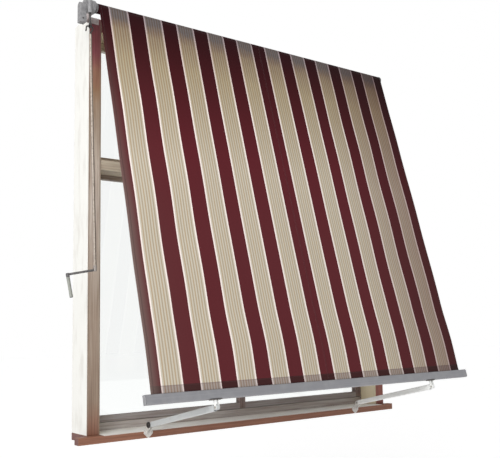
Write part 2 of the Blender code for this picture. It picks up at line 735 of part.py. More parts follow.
def worm_wheel():
    outline = []
    start = Vector((WHEEL_X - WHEEL_WIDTH / 2, ROLLER.y, ROLLER.z))
    for i in range(WHEEL_TEETH * 2):
        angle = math.pi * i / WHEEL_TEETH
        radius = WHEEL_RADIUS if i % 2 else WHEEL_RADIUS - TOOTH_DEPTH
        outline.append(start + (Y_AXIS * math.cos(angle) + Z_AXIS * math.sin(angle)) * radius)
    wheel = add_object("worm_wheel", prism(outline, X_AXIS * WHEEL_WIDTH), "steel", ROLLER)
    bore_end = start + X_AXIS * (WHEEL_WIDTH + CUT_PAST)
    cut(wheel, cylinder(start - X_AXIS * CUT_PAST, bore_end, SHAFT_RADIUS + GAP))


def worm_shaft(on_axis, bore_top):
    """The worm, its bearing collar, its stem and the eye for the crank's hook."""
    top = bore_top + ROD_DOWN * GAP
    eye_top = EYE - ROD_DOWN * (EYE_RADIUS - EYE_WIRE / 2)
    length = (eye_top - top).length
    profile = [(0, 0)]
    for i in range(WORM_TURNS):
        turn = LAP + i * WORM_PITCH
        profile.append((WORM_RADIUS, turn))
        profile.append((WORM_RADIUS, turn + WORM_PITCH * 0.5))
        profile.append((WORM_RADIUS - THREAD_DEPTH, turn + WORM_PITCH * 0.75))
    collar = WORM_RADIUS + COLLAR_LIP
    collar_end = (bore_top - on_axis).length + (ROLLER_Z - BOSS_BOTTOM)
    profile += [(collar, COLLAR_START), (collar, collar_end), (STEM_RADIUS, collar_end)]
    profile += [(STEM_RADIUS, length), (0, length)]
    shaft = add_object("worm_shaft", lathe(profile, top, ROD_DOWN, 16), "steel", EYE)
    ring = []
    for i in range(8):
        angle = 2 * math.pi * i / 8
        ring.append((EYE_RADIUS + EYE_WIRE * math.cos(angle), EYE_WIRE * math.sin(angle)))
    join(shaft, lathe(ring, EYE, X_AXIS, 20, closed=True))


def roller():
    """The tube, its two plugs with their shafts, and the cloth that is rolled on it."""
    left = Vector((TUBE_LEFT, ROLLER.y, ROLLER.z))
    right = Vector((TUBE_RIGHT, ROLLER.y, ROLLER.z))
    tube = pipe(left, right, TUBE_RADIUS, TUBE_RADIUS - TUBE_WALL, 28)
    add_object("roller_tube", tube, "aluminium", ROLLER)
    plug_radius = TUBE_RADIUS - TUBE_WALL - GAP
    reach_left = TUBE_LEFT - GAP - (WHEEL_X - WHEEL_WIDTH / 2 - 0.002)
    reach_right = 0.018
    ends = (("left", left, -X_AXIS, reach_left), ("right", right, X_AXIS, reach_right))
    for name, end, outward, reach in ends:
        base = end + outward * GAP
        profile = [
            (0, -PLUG_LENGTH), (plug_radius, -PLUG_LENGTH), (plug_radius, 0), (FLANGE_RADIUS, 0),
            (FLANGE_RADIUS, FLANGE_THICKNESS), (SHAFT_RADIUS, FLANGE_THICKNESS),
            (SHAFT_RADIUS, reach), (0, reach),
        ]
        add_object(f"roller_plug_{name}", lathe(profile, base, outward, 28), "casting", ROLLER)
    cloth_roll()


def cloth_roll():
    """The turns on the tube, one solid, with each turn's edge showing at both ends."""
    bore = TUBE_RADIUS + GAP
    width = CLOTH_RIGHT - CLOTH_LEFT
    edge = 0.0012
    left_end = []
    for i in range(CLOTH_TURNS):
        radius = bore + i * CLOTH_THICKNESS
        left_end.append((radius, edge))
        left_end.append((radius + CLOTH_THICKNESS * 0.35, 0))
        left_end.append((radius + CLOTH_THICKNESS * 0.9, 0))
    left_end.append((ROLL_RADIUS, edge))
    right_end = [(radius, width - height) for radius, height in reversed(left_end)]
    base = Vector((CLOTH_LEFT, ROLLER.y, ROLLER.z))
    roll = lathe(left_end + right_end, base, X_AXIS, 28, closed=True)
    add_object("cloth_roll", roll, "cloth", ROLLER)


def cloth_bulge(along):
    """How far the cloth stands off its straight line."""
    start = CLOTH_DROP - BELLY_REACH
    if along <= start or along >= CLOTH_DROP:
        return 0.0
    return BELLY * math.sin(math.pi * (along - start) / BELLY_REACH) ** 2


def cloth_sheet():
    """The cloth from the roll to the bar's slot, with its doubled hem."""
    end = CLOTH_DROP + SLOT_DEPTH * 0.7
    stations = [0.0, CLOTH_DROP * 0.4, CLOTH_DROP - BELLY_REACH]
    steps = 8
    hem_start = CLOTH_DROP - HEM_HEIGHT
    for i in range(1, steps + 1):
        stations.append(CLOTH_DROP - BELLY_REACH + (BELLY_REACH - HEM_HEIGHT) * i / steps)
    front = []
    back = []
    for along in stations:
        place = CLOTH_TOP + CLOTH_DOWN * along
        middle = cloth_bulge(along)
        front.append(place + CLOTH_OUT * (middle + CLOTH_THICKNESS / 2))
        back.append(place + CLOTH_OUT * (middle - CLOTH_THICKNESS / 2))
    hem = CLOTH_THICKNESS * HEM_LAYERS / 2
    for along in (hem_start + LAP, CLOTH_DROP, end):
        place = CLOTH_TOP + CLOTH_DOWN * along
        middle = cloth_bulge(along)
        front.append(place + CLOTH_OUT * (middle + hem))
        back.append(place + CLOTH_OUT * (middle - hem))
    outline = [point + X_AXIS * CLOTH_LEFT for point in front + back[::-1]]
    add_object("cloth_sheet", prism(outline, X_AXIS * (CLOTH_RIGHT - CLOTH_LEFT)), "cloth")


def bar_point(x, down, out):
    """A place on the front bar, by its depth below the slot and its distance out."""
    return Vector((x, BAR_TOP.y, BAR_TOP.z)) + CLOTH_DOWN * down + CLOTH_OUT * out


def bar_outline(x, with_slot):
    """The bar's section: flat back, rounded front, and the cloth's slot on top."""
    outline = [bar_point(x, 0, -BAR_BACK)]
    if with_slot:
        half = SLOT_WIDTH / 2
        for down, out in ((0, -half), (SLOT_DEPTH, -half), (SLOT_DEPTH, half), (0, half)):
            outline.append(bar_point(x, down, out))
    upper = bar_point(x, BAR_ROUND, BAR_FRONT - BAR_ROUND)
    lower = bar_point(x, BAR_HEIGHT - BAR_ROUND, BAR_FRONT - BAR_ROUND)
    outline += arc(upper, CLOTH_OUT, -CLOTH_DOWN, BAR_ROUND, 75, 0, 5)
    outline += arc(lower, CLOTH_OUT, -CLOTH_DOWN, BAR_ROUND, 0, -90, 6)
    outline.append(bar_point(x, BAR_HEIGHT, -BAR_BACK))
    return outline


def front_bar():
    pivot = UPPER_PIVOT
    length = BAR_RIGHT - BAR_LEFT
    bar = add_object("front_bar", prism(bar_outline(BAR_LEFT, True), X_AXIS * length), "aluminium", pivot)
    start = BAR_LEFT - CUT_PAST
    top = SLOT_DEPTH + BAR_WALL
    bottom = BAR_HEIGHT - BAR_WALL
    front = BAR_FRONT - BAR_WALL
    back = -BAR_BACK + BAR_WALL
    round_inside = BAR_ROUND * 0.7
    corners = [
        (top, back), (top, front), (bottom - round_inside, front),
        (bottom, front - round_inside), (bottom, back),
    ]
    chamber = [bar_point(start, down, out) for down, out in corners]
    cut(bar, prism(chamber, X_AXIS * (length + 2 * CUT_PAST)))
    holes = bmesh.new()
    for head in bar_screws():
        screw_hole(head, -CLOTH_DOWN, bar_screw_length(), holes)
    cut(bar, holes)
    for name, x, outward in (("left", BAR_LEFT - GAP, -X_AXIS), ("right", BAR_RIGHT + GAP, X_AXIS)):
        shape = prism(bar_outline(x, False), outward * BAR_CAP)
        cap = add_object(f"bar_cap_{name}", shape, "grey_plastic", pivot)
        ease(cap, 0.0006)


def bar_screw_length():
    return BAR_PLATE_THICKNESS + GAP + BAR_SCREW_BITE


def bar_screws():
    """Where the screws of the two bar brackets go."""
    heads = []
    down = BAR_HEIGHT + GAP + BAR_PLATE_THICKNESS
    for side in (-1, 1):
        for step in (-0.5, 0.5):
            heads.append(bar_point(side * ARM_SPACING / 2 + step * BAR_SCREW_SPACING, down, 0))
    return heads


def cheek_offsets():
    """The inner and outer distance of a fork's cheeks from the arm's middle."""
    inner = EYE_THICKNESS / 2 + RUNNING_GAP
    return inner, inner + CHEEK


def fork_bore(centre):
    """The pin's hole through both cheeks of a fork."""
    reach = X_AXIS * (cheek_offsets()[1] + CUT_PAST)
    return cylinder(centre - reach, centre + reach, PIN_RADIUS + GAP)


def bar_bracket(side, name):
    """A plate under the bar, with two prongs that hold the arm's upper pin."""
    x = side * ARM_SPACING / 2
    top = BAR_HEIGHT + GAP
    half = BAR_PLATE_WIDTH / 2
    start = x - BAR_PLATE_LENGTH / 2
    bottom = top + BAR_PLATE_THICKNESS
    corners = ((top, -half), (top, half), (bottom, half), (bottom, -half))
    outline = [bar_point(start, down, out) for down, out in corners]
    bracket = add_object(name, prism(outline, X_AXIS * BAR_PLATE_LENGTH), "white_paint", UPPER_PIVOT)
    prongs = bmesh.new()
    inner, outer = cheek_offsets()
    for direction in (-1, 1):
        at = min(x + direction * inner, x + direction * outer)
        pivot = bar_point(at, UPPER_PIVOT_DROP, 0)
        outline = [bar_point(at, top + LAP, -PRONG_RADIUS), bar_point(at, top + LAP, PRONG_RADIUS)]
        outline += arc(pivot, CLOTH_OUT, -CLOTH_DOWN, PRONG_RADIUS, 0, -180, 8)
        prism(outline, X_AXIS * CHEEK, prongs)
    join(bracket, prongs)
    cut(bracket, fork_bore(bar_point(x, UPPER_PIVOT_DROP, 0)))
    screws = bmesh.new()
    for head in bar_screws():
        if head.x * side > 0:
            screw(head, -CLOTH_DOWN, bar_screw_length(), screws)
    join(bracket, screws)


def sill_bracket(side, name):
    """A shield on the sill's front edge, with two cheeks that hold the arm's lower pin."""
    x = side * ARM_SPACING / 2
    face = SILL_FRONT - GAP
    half = SHIELD_WIDTH / 2
    shoulder = SHIELD_TIP + (SHIELD_TOP - SHIELD_TIP) * 0.55
    tip = SHIELD_TIP_WIDTH / 2
    corners = [
        (-half, SHIELD_TOP), (half, SHIELD_TOP), (half, shoulder),
        (tip, SHIELD_TIP), (-tip, SHIELD_TIP), (-half, shoulder),
    ]
    outline = [Vector((x + across, face, height)) for across, height in corners]
    bracket = add_object(name, prism(outline, -Y_AXIS * SHIELD_THICKNESS), "white_paint")
    cheeks = bmesh.new()
    inner, outer = cheek_offsets()
    for direction in (-1, 1):
        at = min(x + direction * inner, x + direction * outer)
        pivot = Vector((at, LOWER_PIVOT.y, LOWER_PIVOT.z))
        root = face - LAP
        outline = [
            Vector((at, root, SHIELD_TOP - 2 * CHEEK_RADIUS - LAP)),
            Vector((at, root, SHIELD_TOP - LAP)),
        ]
        outline += arc(pivot, Y_AXIS, Z_AXIS, CHEEK_RADIUS, 10, 200, 10)
        prism(outline, X_AXIS * CHEEK, cheeks)
    join(bracket, cheeks)
    cut(bracket, fork_bore(Vector((x, LOWER_PIVOT.y, LOWER_PIVOT.z))))
    screws = bmesh.new()
    for head in sill_screws():
        if head.x * side > 0:
            screw(head, Y_AXIS, SCREW_LENGTH, screws)
    join(bracket, screws)


def arm_pin(side, name, pivot, head, height):
    """The pin at one end of an arm, with its head or cap outside and its other end riveted."""
    base = Vector((side * ARM_SPACING / 2, pivot.y, pivot.z))
    reach = cheek_offsets()[1] + GAP
    profile = [
        (0, -reach - height), (head * 0.7, -reach - height), (head, -reach - height * 0.6), (head, -reach),
        (PIN_RADIUS, -reach), (PIN_RADIUS, reach), (RIVETED_END, reach),
        (RIVETED_END, reach + RIVETED_HEIGHT), (0, reach + RIVETED_HEIGHT),
    ]
    add_object(name, lathe(profile, base, X_AXIS * -side, 20), "steel", pivot)


def arm_point(x, along, up):
    return Vector((x, LOWER_PIVOT.y, LOWER_PIVOT.z)) + ARM_OUT * along + ARM_UP * up


def arm_section(x, along, height, wall):
    """The arm's rounded section, as an outline around its middle line."""
    half_width = ARM_WIDTH / 2 - wall
    half_height = height / 2 - wall
    corner = ARM_CORNER - wall
    outline = []
    for right, up, first in ((1, 1, 0), (-1, 1, 90), (-1, -1, 180), (1, -1, 270)):
        centre = arm_point(x, along, up * (half_height - corner)) + X_AXIS * right * (half_width - corner)
        outline += arc(centre, X_AXIS, ARM_UP, corner, first, first + 90, 3)
    return outline


def drop_arm(side, name):
    """An arm tube with a flat eye in each end."""
    x = side * ARM_SPACING / 2
    near = ARM_SETBACK
    far = ARM_LENGTH - ARM_SETBACK
    tube = hollow_loft(
        arm_section(x, near, ARM_HEIGHT_LOW, 0), arm_section(x, near, ARM_HEIGHT_LOW, ARM_WALL),
        arm_section(x, far, ARM_HEIGHT_HIGH, 0), arm_section(x, far, ARM_HEIGHT_HIGH, ARM_WALL),
    )
    add_object(f"{name}_arm_tube", tube, "white_paint", LOWER_PIVOT)
    tongue = ARM_HEIGHT_LOW / 2 - ARM_WALL - EYE_END_PLAY
    at = x - EYE_THICKNESS / 2
    for part, pivot_along, inward in (("lower", 0, 1), ("upper", ARM_LENGTH, -1)):
        centre = arm_point(at, pivot_along, 0)
        inside = pivot_along + inward * (ARM_SETBACK + EYE_END_LAP)
        outline = [arm_point(at, inside, -tongue), arm_point(at, inside, tongue)]
        outline.append(arm_point(at, pivot_along + inward * ARM_SETBACK, tongue))
        outline += arc(centre, ARM_OUT * inward, ARM_UP, EYE_END_RADIUS, 70, 290, 12)
        outline.append(arm_point(at, pivot_along + inward * ARM_SETBACK, -tongue))
        shape = prism(outline, X_AXIS * EYE_THICKNESS)
        eye = add_object(f"{name}_arm_{part}_eye", shape, "white_paint", LOWER_PIVOT)
        bore_end = centre + X_AXIS * (EYE_THICKNESS + CUT_PAST)
        cut(eye, cylinder(centre - X_AXIS * CUT_PAST, bore_end, PIN_RADIUS + RUNNING_GAP))


def knuckle_slot(centre, along, reach):
    """The slot between a knuckle's cheeks, open past its end."""
    half = KNUCKLE_AXIS * KNUCKLE_SLOT / 2
    across = KNUCKLE_AXIS.cross(along) * KNUCKLE_RADIUS * 2
    start = centre - along * reach
    outline = [start - across - half, start + across - half, start + across + half, start - across + half]
    return prism(outline, along * (reach + KNUCKLE_RADIUS * 2))


def knuckle_rivet(centre, radius, reach):
    return cylinder(centre - KNUCKLE_AXIS * reach, centre + KNUCKLE_AXIS * reach, radius, 12)


def crank():
    """The crank: a hook, a rod, an elbow, an arm, and a handle with a grip that turns."""
    crank_hook()
    top = HOOK_SEAT + ROD_DOWN * (HOOK_LENGTH + HOOK_LIP)
    bottom = ELBOW - ROD_DOWN * KNUCKLE_NECK
    rod = pipe(top, bottom, ROD_RADIUS, ROD_RADIUS - ROD_WALL, 20)
    add_object("crank_rod", rod, "steel", HOOK_SEAT)
    plug = ROD_RADIUS - ROD_WALL - GAP
    profile = [
        (0, -KNUCKLE_PLUG), (plug, -KNUCKLE_PLUG), (plug, GAP - KNUCKLE_NECK),
        (KNUCKLE_RADIUS, GAP - KNUCKLE_NECK), (KNUCKLE_RADIUS, KNUCKLE_DOME * 0.2),
        (KNUCKLE_RADIUS * 0.8, KNUCKLE_DOME * 0.8), (0, KNUCKLE_DOME),
    ]
    elbow = add_object("crank_elbow", lathe(profile, ELBOW, ROD_DOWN, 20), "dark_plastic", HOOK_SEAT)
    cut(elbow, knuckle_slot(ELBOW, ROD_DOWN, KNUCKLE_RADIUS * 1.3))
    join(elbow, knuckle_rivet(ELBOW, RIVET_RADIUS, KNUCKLE_RADIUS * 0.9))
    crank_arm()
    crank_handle()


def crank_hook():
    """The hook's wire, through the winch's eye and down into the rod's plug."""
    plug = ROD_RADIUS - ROD_WALL - GAP
    top = HOOK_SEAT + ROD_DOWN * HOOK_LENGTH
    lip = HOOK_LIP - GAP
    profile = [(0, 0), (ROD_RADIUS, 0), (ROD_RADIUS, lip), (plug, lip), (plug, HOOK_PLUG), (0, HOOK_PLUG)]
    hook = add_object("crank_hook", lathe(profile, top, ROD_DOWN, 20), "steel", HOOK_SEAT)
    bend = 0.011
    path = [Vector((-0.026, 0, -0.032)), Vector((-0.0245, 0, -0.020))]
    path += arc(Vector((-0.0125, 0, -bend)), X_AXIS, Z_AXIS, bend, 165, 90, 4)
    path += arc(Vector((0.006, 0, -bend)), X_AXIS, Z_AXIS, bend, 90, -10, 6)
    path.append(Vector((0.0150, 0, -0.020)))
    path.append(Vector((0.0060, 0, -0.032)))
    path.append(Vector((0.0020, 0, -0.040)))
    path.append(ROD_DOWN * (HOOK_LENGTH + WORM_PITCH))
    join(hook, wire([HOOK_SEAT + point for point in path], HOOK_WIRE))


def crank_arm():
    """The crank's arm, flattened into a tongue at each end."""
    clear = KNUCKLE_RADIUS + ROD_WALL
    start = ELBOW + CRANK_OUT * clear
    end = WRIST - CRANK_OUT * clear
    arm = add_object("crank_arm", cylinder(start, end, CRANK_ARM_RADIUS, 16), "steel", ELBOW)
    half = KNUCKLE_SLOT / 2 - RUNNING_GAP
    tongues = bmesh.new()
    for centre, inward in ((ELBOW, CRANK_OUT), (WRIST, -CRANK_OUT)):
        across = KNUCKLE_AXIS.cross(inward)
        base = centre - KNUCKLE_AXIS * half
        root = base + inward * TONGUE_REACH
        outline = [root - across * HANDLE_CORE, root + across * HANDLE_CORE]
        outline += arc(base, inward, across, TONGUE_RADIUS, 50, 310, 10)
        prism(outline, KNUCKLE_AXIS * half * 2, tongues)
    join(arm, tongues)
    holes = knuckle_rivet(ELBOW, RIVET_RADIUS + RUNNING_GAP, KNUCKLE_RADIUS)
    rivet = KNUCKLE_AXIS * KNUCKLE_RADIUS
    cylinder(WRIST - rivet, WRIST + rivet, RIVET_RADIUS + RUNNING_GAP, 12, holes)
    cut(arm, holes)


def crank_handle():
    """The handle's core and knuckle, and the grip that turns on the core."""
    grip_top = HANDLE_NECK + GAP
    grip_end = grip_top + GRIP_LENGTH
    stop = grip_end + GAP
    stop_radius = KNUCKLE_RADIUS * 0.9
    profile = [
        (0, -KNUCKLE_DOME), (KNUCKLE_RADIUS * 0.8, -KNUCKLE_DOME * 0.8),
        (KNUCKLE_RADIUS, -KNUCKLE_DOME * 0.2), (KNUCKLE_RADIUS, HANDLE_NECK), (HANDLE_CORE, HANDLE_NECK),
        (HANDLE_CORE, stop), (stop_radius, stop), (stop_radius, stop + HANDLE_FLANGE),
        (0, stop + HANDLE_FLANGE * 1.6),
    ]
    handle = add_object("crank_handle", lathe(profile, WRIST, HANDLE_DOWN, 20), "dark_plastic", WRIST)
    cut(handle, knuckle_slot(WRIST, -HANDLE_DOWN, KNUCKLE_RADIUS + LAP / 2))
    join(handle, knuckle_rivet(WRIST, RIVET_RADIUS, KNUCKLE_RADIUS * 0.9))
    bore = HANDLE_CORE + RUNNING_GAP
    waist = GRIP_RADIUS * 0.92
    sleeve = [
        (bore, grip_top), (GRIP_RADIUS - LAP, grip_top), (GRIP_RADIUS, grip_top + 2 * LAP),
        (waist, grip_top + GRIP_LENGTH * 0.3), (waist, grip_top + GRIP_LENGTH * 0.6),
        (GRIP_RADIUS, grip_end - 2 * LAP), (GRIP_RADIUS - LAP, grip_end), (bore, grip_end),
    ]
    add_object("crank_grip", lathe(sleeve, WRIST, HANDLE_DOWN, 20, closed=True), "grey_plastic", WRIST)


def build():
    clear_scene()
    window_frame()
    top_light()
    leaf(-1, "left")
    leaf(1, "right")
    for side, name in ((-1, "left"), (1, "right")):
        wall_bracket(side, f"{name}_wall_bracket")
        bar_bracket(side, f"{name}_bar_bracket")
        sill_bracket(side, f"{name}_sill_bracket")
        drop_arm(side, name)
        arm_pin(side, f"{name}_lower_pin", LOWER_PIVOT, PIN_CAP, PIN_CAP_HEIGHT)
        arm_pin(side, f"{name}_upper_pin", UPPER_PIVOT, PIN_HEAD, PIN_HEAD_HEIGHT)
    winch()
    roller()
    cloth_sheet()
    front_bar()
    crank()


build()
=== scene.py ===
"""The striped drop-arm awning and its wooden window frame, with their finishes.

Lengths are in metres. X runs along the window, -Y points outdoors and Z is up.
"""
import math

import bpy
from mathutils import Matrix, Vector, noise


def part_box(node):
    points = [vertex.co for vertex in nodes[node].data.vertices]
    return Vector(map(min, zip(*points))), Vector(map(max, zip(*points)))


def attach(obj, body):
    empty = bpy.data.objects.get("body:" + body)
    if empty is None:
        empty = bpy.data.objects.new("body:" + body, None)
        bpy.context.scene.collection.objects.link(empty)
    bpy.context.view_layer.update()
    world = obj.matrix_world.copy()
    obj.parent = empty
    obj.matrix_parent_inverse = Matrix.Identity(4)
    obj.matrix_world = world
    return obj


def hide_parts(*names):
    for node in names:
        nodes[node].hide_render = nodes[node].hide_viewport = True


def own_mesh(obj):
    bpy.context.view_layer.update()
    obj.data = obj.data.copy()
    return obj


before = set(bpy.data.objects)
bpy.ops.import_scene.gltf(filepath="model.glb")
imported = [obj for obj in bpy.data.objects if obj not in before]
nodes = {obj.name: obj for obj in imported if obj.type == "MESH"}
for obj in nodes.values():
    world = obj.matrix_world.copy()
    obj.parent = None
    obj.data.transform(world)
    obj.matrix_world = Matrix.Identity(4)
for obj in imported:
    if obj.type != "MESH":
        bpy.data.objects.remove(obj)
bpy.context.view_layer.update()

# Cloth, as it was cut and sewn
CLOTH_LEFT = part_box("cloth_sheet")[0].x
CLOTH_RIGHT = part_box("cloth_sheet")[1].x
CLOTH_WIDTH = CLOTH_RIGHT - CLOTH_LEFT
CLOTH_TILT = math.radians(15.0)
CLOTH_TOP = Vector((0, -0.35507, 2.48979))
CLOTH_DOWN = Vector((0, -math.sin(CLOTH_TILT), -math.cos(CLOTH_TILT)))
CLOTH_OUT = Vector((0, -math.cos(CLOTH_TILT), math.sin(CLOTH_TILT)))
CLOTH_DROP = 2.257
IN_SLOT = 0.006
CLOTH_THICKNESS = 0.0006
LAYER = 0.00066
HEM_HEIGHT = 0.038
SIDE_HEM = 0.018
SEAM_LAP = 0.014
ON_CLOTH = 0.5 * LAYER
ON_STRIP = 1.5 * LAYER
STITCH_LENGTH = 0.0030
STITCH_GAP = 0.0012
STITCH_INSET = 0.004
STITCH_START = 0.010
THREAD_RADIUS = 0.0005

# Cells of the cloth's meshes
CLOTH_COLUMNS = 180
CLOTH_ROWS = 206
HEM_ROWS = 8
STRIP_COLUMNS = 3
ROLL_COLUMNS = 40

# How the hanging cloth stands off its straight line
BELLY = 0.006
BELLY_REACH = 0.45
WAVE_HEIGHT = 0.0016
WAVE_WIDTH = 0.47
WAVE_DRIFT = 0.6
FOLD_HEIGHT = 0.0028
FOLD_WIDTH = 0.62
SLACK = 0.0030
HELD_BY_ROLL = 0.5
HELD_BY_BAR = 0.25
LEFT_CORNER = 0.25
LEFT_CORNER_REACH = 0.35
RIGHT_CORNER = 0.3
RIGHT_CORNER_REACH = 0.4
RIGHT_CORNER_SHARE = 0.8

# Stripes, across the cloth
STRIPE_PERIOD = 0.231
FIRST_PALE = 0.061
PALE_WIDTH = 0.129
BORDER_WIDTH = 0.0090
RIB_COUNT = 6
SEAM_AT = 1.167
SEAM_EXTRA = 0.004

# The turns that are left on the tube
ROLLER = Vector((0, -0.326, 2.482))
ROLL_RADIUS = 0.029
INNER_TURN = 0.0255
TURNS = 3.6
TURN_STEPS = 48

# Small parts and places that have a colour of their own
COVER_SCREW = Vector((-1.3045, -0.355, 2.393))
SCREW_HEAD = 0.0052
BRACKET_PLATE = 0.0553
JAMB_MIDDLE = 1.155
OPENING = 1.115
JAMB_TOP = 2.48
WORN_FROM = 0.026
WORN_TO = 0.036
CAST_EDGE = 0.0012
CAST_EDGE_ANGLE = math.radians(50)

# Paint that reaches further than the frame's half width covers a whole side
WHOLE_SIDE = 2.0

# Growth rings show as streaks of this size, and the finer pores are drawn coarse enough to show
RING_LENGTH = 0.34
RING_WIDTH = 0.010
PORE_LENGTH = 0.12
PORE_WIDTH = 0.0022

# Stage and lamps
FLOOR_HEIGHT = -0.9
FLOOR_HALF = 40.0
FLOOR_LIFT = 0.37
ROOM_LIGHT = 0.62
ROOM_LIFT = 0.38
UPPER_LAMP = Vector((-4.0, -4.0, 4.0))
UPPER_AIM = Vector((0.0, -0.6, 1.4))
UPPER_SIZE = 3.0
UPPER_WATTS = 122
LOWER_LAMP = Vector((-5.3, -2.7, 1.9))
LOWER_AIM = Vector((0.0, -0.3, 0.6))
LOWER_SIZE = 2.6
LOWER_WATTS = 92

# Camera: its angles in degrees, its lens and sensor in millimetres
CAMERA_PLACE = (-3.069, -4.194, 0.618)
CAMERA_YAW = 37.34
CAMERA_PITCH = 7.44
CAMERA_ROLL = -1.22
CAMERA_LENS = 54.45
CAMERA_SENSOR = 36.0


def linear(hex_colour):
    """An sRGB hex colour as linear RGBA."""
    channels = [int(hex_colour[i:i + 2], 16) / 255 for i in (1, 3, 5)]
    return [c / 12.92 if c <= 0.04045 else ((c + 0.055) / 1.055) ** 2.4 for c in channels] + [1.0]


def connect(tree, node, inputs):
    """Set a node's inputs: a number, a hex colour, or another node or one of its outputs."""
    for key, value in inputs.items():
        if isinstance(value, bpy.types.Node):
            value = next(socket for socket in value.outputs if socket.enabled)
        if isinstance(value, bpy.types.NodeSocket):
            tree.links.new(value, node.inputs[key])
        else:
            node.inputs[key].default_value = linear(value) if isinstance(value, str) else value


def add_node(tree, kind, inputs=None, stops=None, **settings):
    """Add a node with its settings, its colour stops if it has them, and its links."""
    node = tree.nodes.new("ShaderNode" + kind)
    if stops:
        node.color_ramp.interpolation = settings.pop("between", "LINEAR")
        elements = node.color_ramp.elements
        while len(elements) < len(stops):
            elements.new(1.0)
        while len(elements) > len(stops):
            elements.remove(elements[-1])
        for element, (position, colour) in zip(elements, stops):
            element.position = position
            element.color = linear(colour)
    for name, value in settings.items():
        setattr(node, name, value)
    connect(tree, node, inputs or {})
    return node


def new_finish(name, sockets):
    """A material with its shader, and the place on the object that its pattern is measured from."""
    finish = bpy.data.materials.new(name)
    finish.use_nodes = True
    tree = finish.node_tree
    shader = tree.nodes["Principled BSDF"]
    connect(tree, shader, sockets)
    place = add_node(tree, "TexCoord").outputs["Object"]
    return finish, tree, shader, place


def painted_side(tree, direction):
    """1 on the sides of a board that face this way, and 0 on its others."""
    normal = add_node(tree, "TexCoord").outputs["Normal"]
    towards = add_node(tree, "VectorMath", {0: normal, 1: direction}, operation="DOT_PRODUCT")
    return add_node(tree, "MapRange", {0: towards.outputs["Value"], 1: 0.6, 2: 0.8})


def old_oil_paint(tree, place, colour, worn):
    """Brushed oil paint gone chalky: dirt where water has run down it and dried."""
    # The runs are about 90 mm wide and 170 mm high.
    runs = add_node(tree, "Mapping", {"Vector": place, "Scale": (11, 20, 6)})
    dirt = add_node(tree, "TexNoise", {"Vector": runs, "Scale": 1.0, "Detail": 5.0})
    dirty = add_node(tree, "MapRange", {0: dirt, 1: 0.45, 2: 0.75, 4: 0.7}, interpolation_type="SMOOTHSTEP")
    return add_node(tree, "Mix", {0: dirty, 6: colour, 7: worn}, data_type="RGBA")


def stained_pine(name, run, stains, worn_edge=None, paints=()):
    """Planed pine under a worn stain: long streaks along the board, open grain, bleached by height."""
    finish, tree, shader, place = new_finish(name, {})
    ring_sizes = [1 / RING_LENGTH if axis == run else 1 / RING_WIDTH for axis in "XYZ"]
    pore_sizes = [1 / PORE_LENGTH if axis == run else 1 / PORE_WIDTH for axis in "XYZ"]
    board = add_node(tree, "Mapping", {"Vector": place, "Scale": ring_sizes})
    rings = add_node(tree, "TexNoise", {"Vector": board, "Scale": 1.0, "Detail": 5.0, "Distortion": 0.3})
    fine = add_node(tree, "Mapping", {"Vector": place, "Scale": pore_sizes})
    pores = add_node(tree, "TexNoise", {"Vector": fine, "Scale": 1.0, "Detail": 2.0})
    axes = add_node(tree, "SeparateXYZ", {0: place})
    # The bleached bands wander up and down in patches of about 170 mm.
    clouds = add_node(tree, "TexNoise", {"Vector": place, "Scale": 6.0, "Detail": 3.0})
    drift = add_node(tree, "Math", {0: clouds, 1: 0.10, 2: -0.05}, operation="MULTIPLY_ADD")
    share_up = {0: axes.outputs["Z"], 1: 1 / JAMB_TOP, 2: drift}
    height = add_node(tree, "Math", share_up, operation="MULTIPLY_ADD")
    colour = add_node(tree, "ValToRGB", {0: height}, stops=stains)
    if worn_edge:
        middle, edge_colour = worn_edge
        off_middle = add_node(tree, "Math", {0: axes.outputs["X"], 1: middle}, operation="SUBTRACT")
        off_middle = add_node(tree, "Math", {0: off_middle}, operation="ABSOLUTE")
        worn = add_node(tree, "MapRange", {0: off_middle, 1: WORN_FROM, 2: WORN_TO, 4: 0.6})
        colour = add_node(tree, "Mix", {0: worn, 6: colour, 7: edge_colour}, data_type="RGBA")
    shades = [(0.30, "#C9BDB8"), (0.48, "#EAE4E1"), (0.66, "#FFFFFF")]
    streaks = add_node(tree, "ValToRGB", {0: rings}, stops=shades)
    colour = add_node(tree, "Mix", {0: 1.0, 6: colour, 7: streaks}, data_type="RGBA", blend_type="MULTIPLY")
    open_grain = add_node(tree, "MapRange", {0: pores, 1: 0.60, 2: 0.76, 4: 0.30})
    colour = add_node(tree, "Mix", {0: open_grain, 6: colour, 7: "#4A3530"}, data_type="RGBA")
    aside = add_node(tree, "Math", {0: axes.outputs["X"]}, operation="ABSOLUTE")
    for direction, tone, dirt, reach in paints:
        paint = old_oil_paint(tree, place, tone, dirt)
        within = add_node(tree, "Math", {0: aside, 1: reach}, operation="LESS_THAN")
        facing = painted_side(tree, direction)
        painted = add_node(tree, "Math", {0: facing, 1: within}, operation="MULTIPLY")
        colour = add_node(tree, "Mix", {0: painted, 6: colour, 7: paint}, data_type="RGBA")
    roughness = add_node(tree, "MapRange", {0: rings, 1: 0.3, 2: 0.7, 3: 0.52, 4: 0.74})
    relief = add_node(tree, "Math", {0: pores, 1: 0.5, 2: rings}, operation="MULTIPLY_ADD")
    raised = add_node(tree, "Bump", {"Height": relief, "Distance": 0.0012, "Strength": 0.6})
    connect(tree, shader, {"Base Color": colour, "Roughness": roughness, "Normal": raised})
    return finish


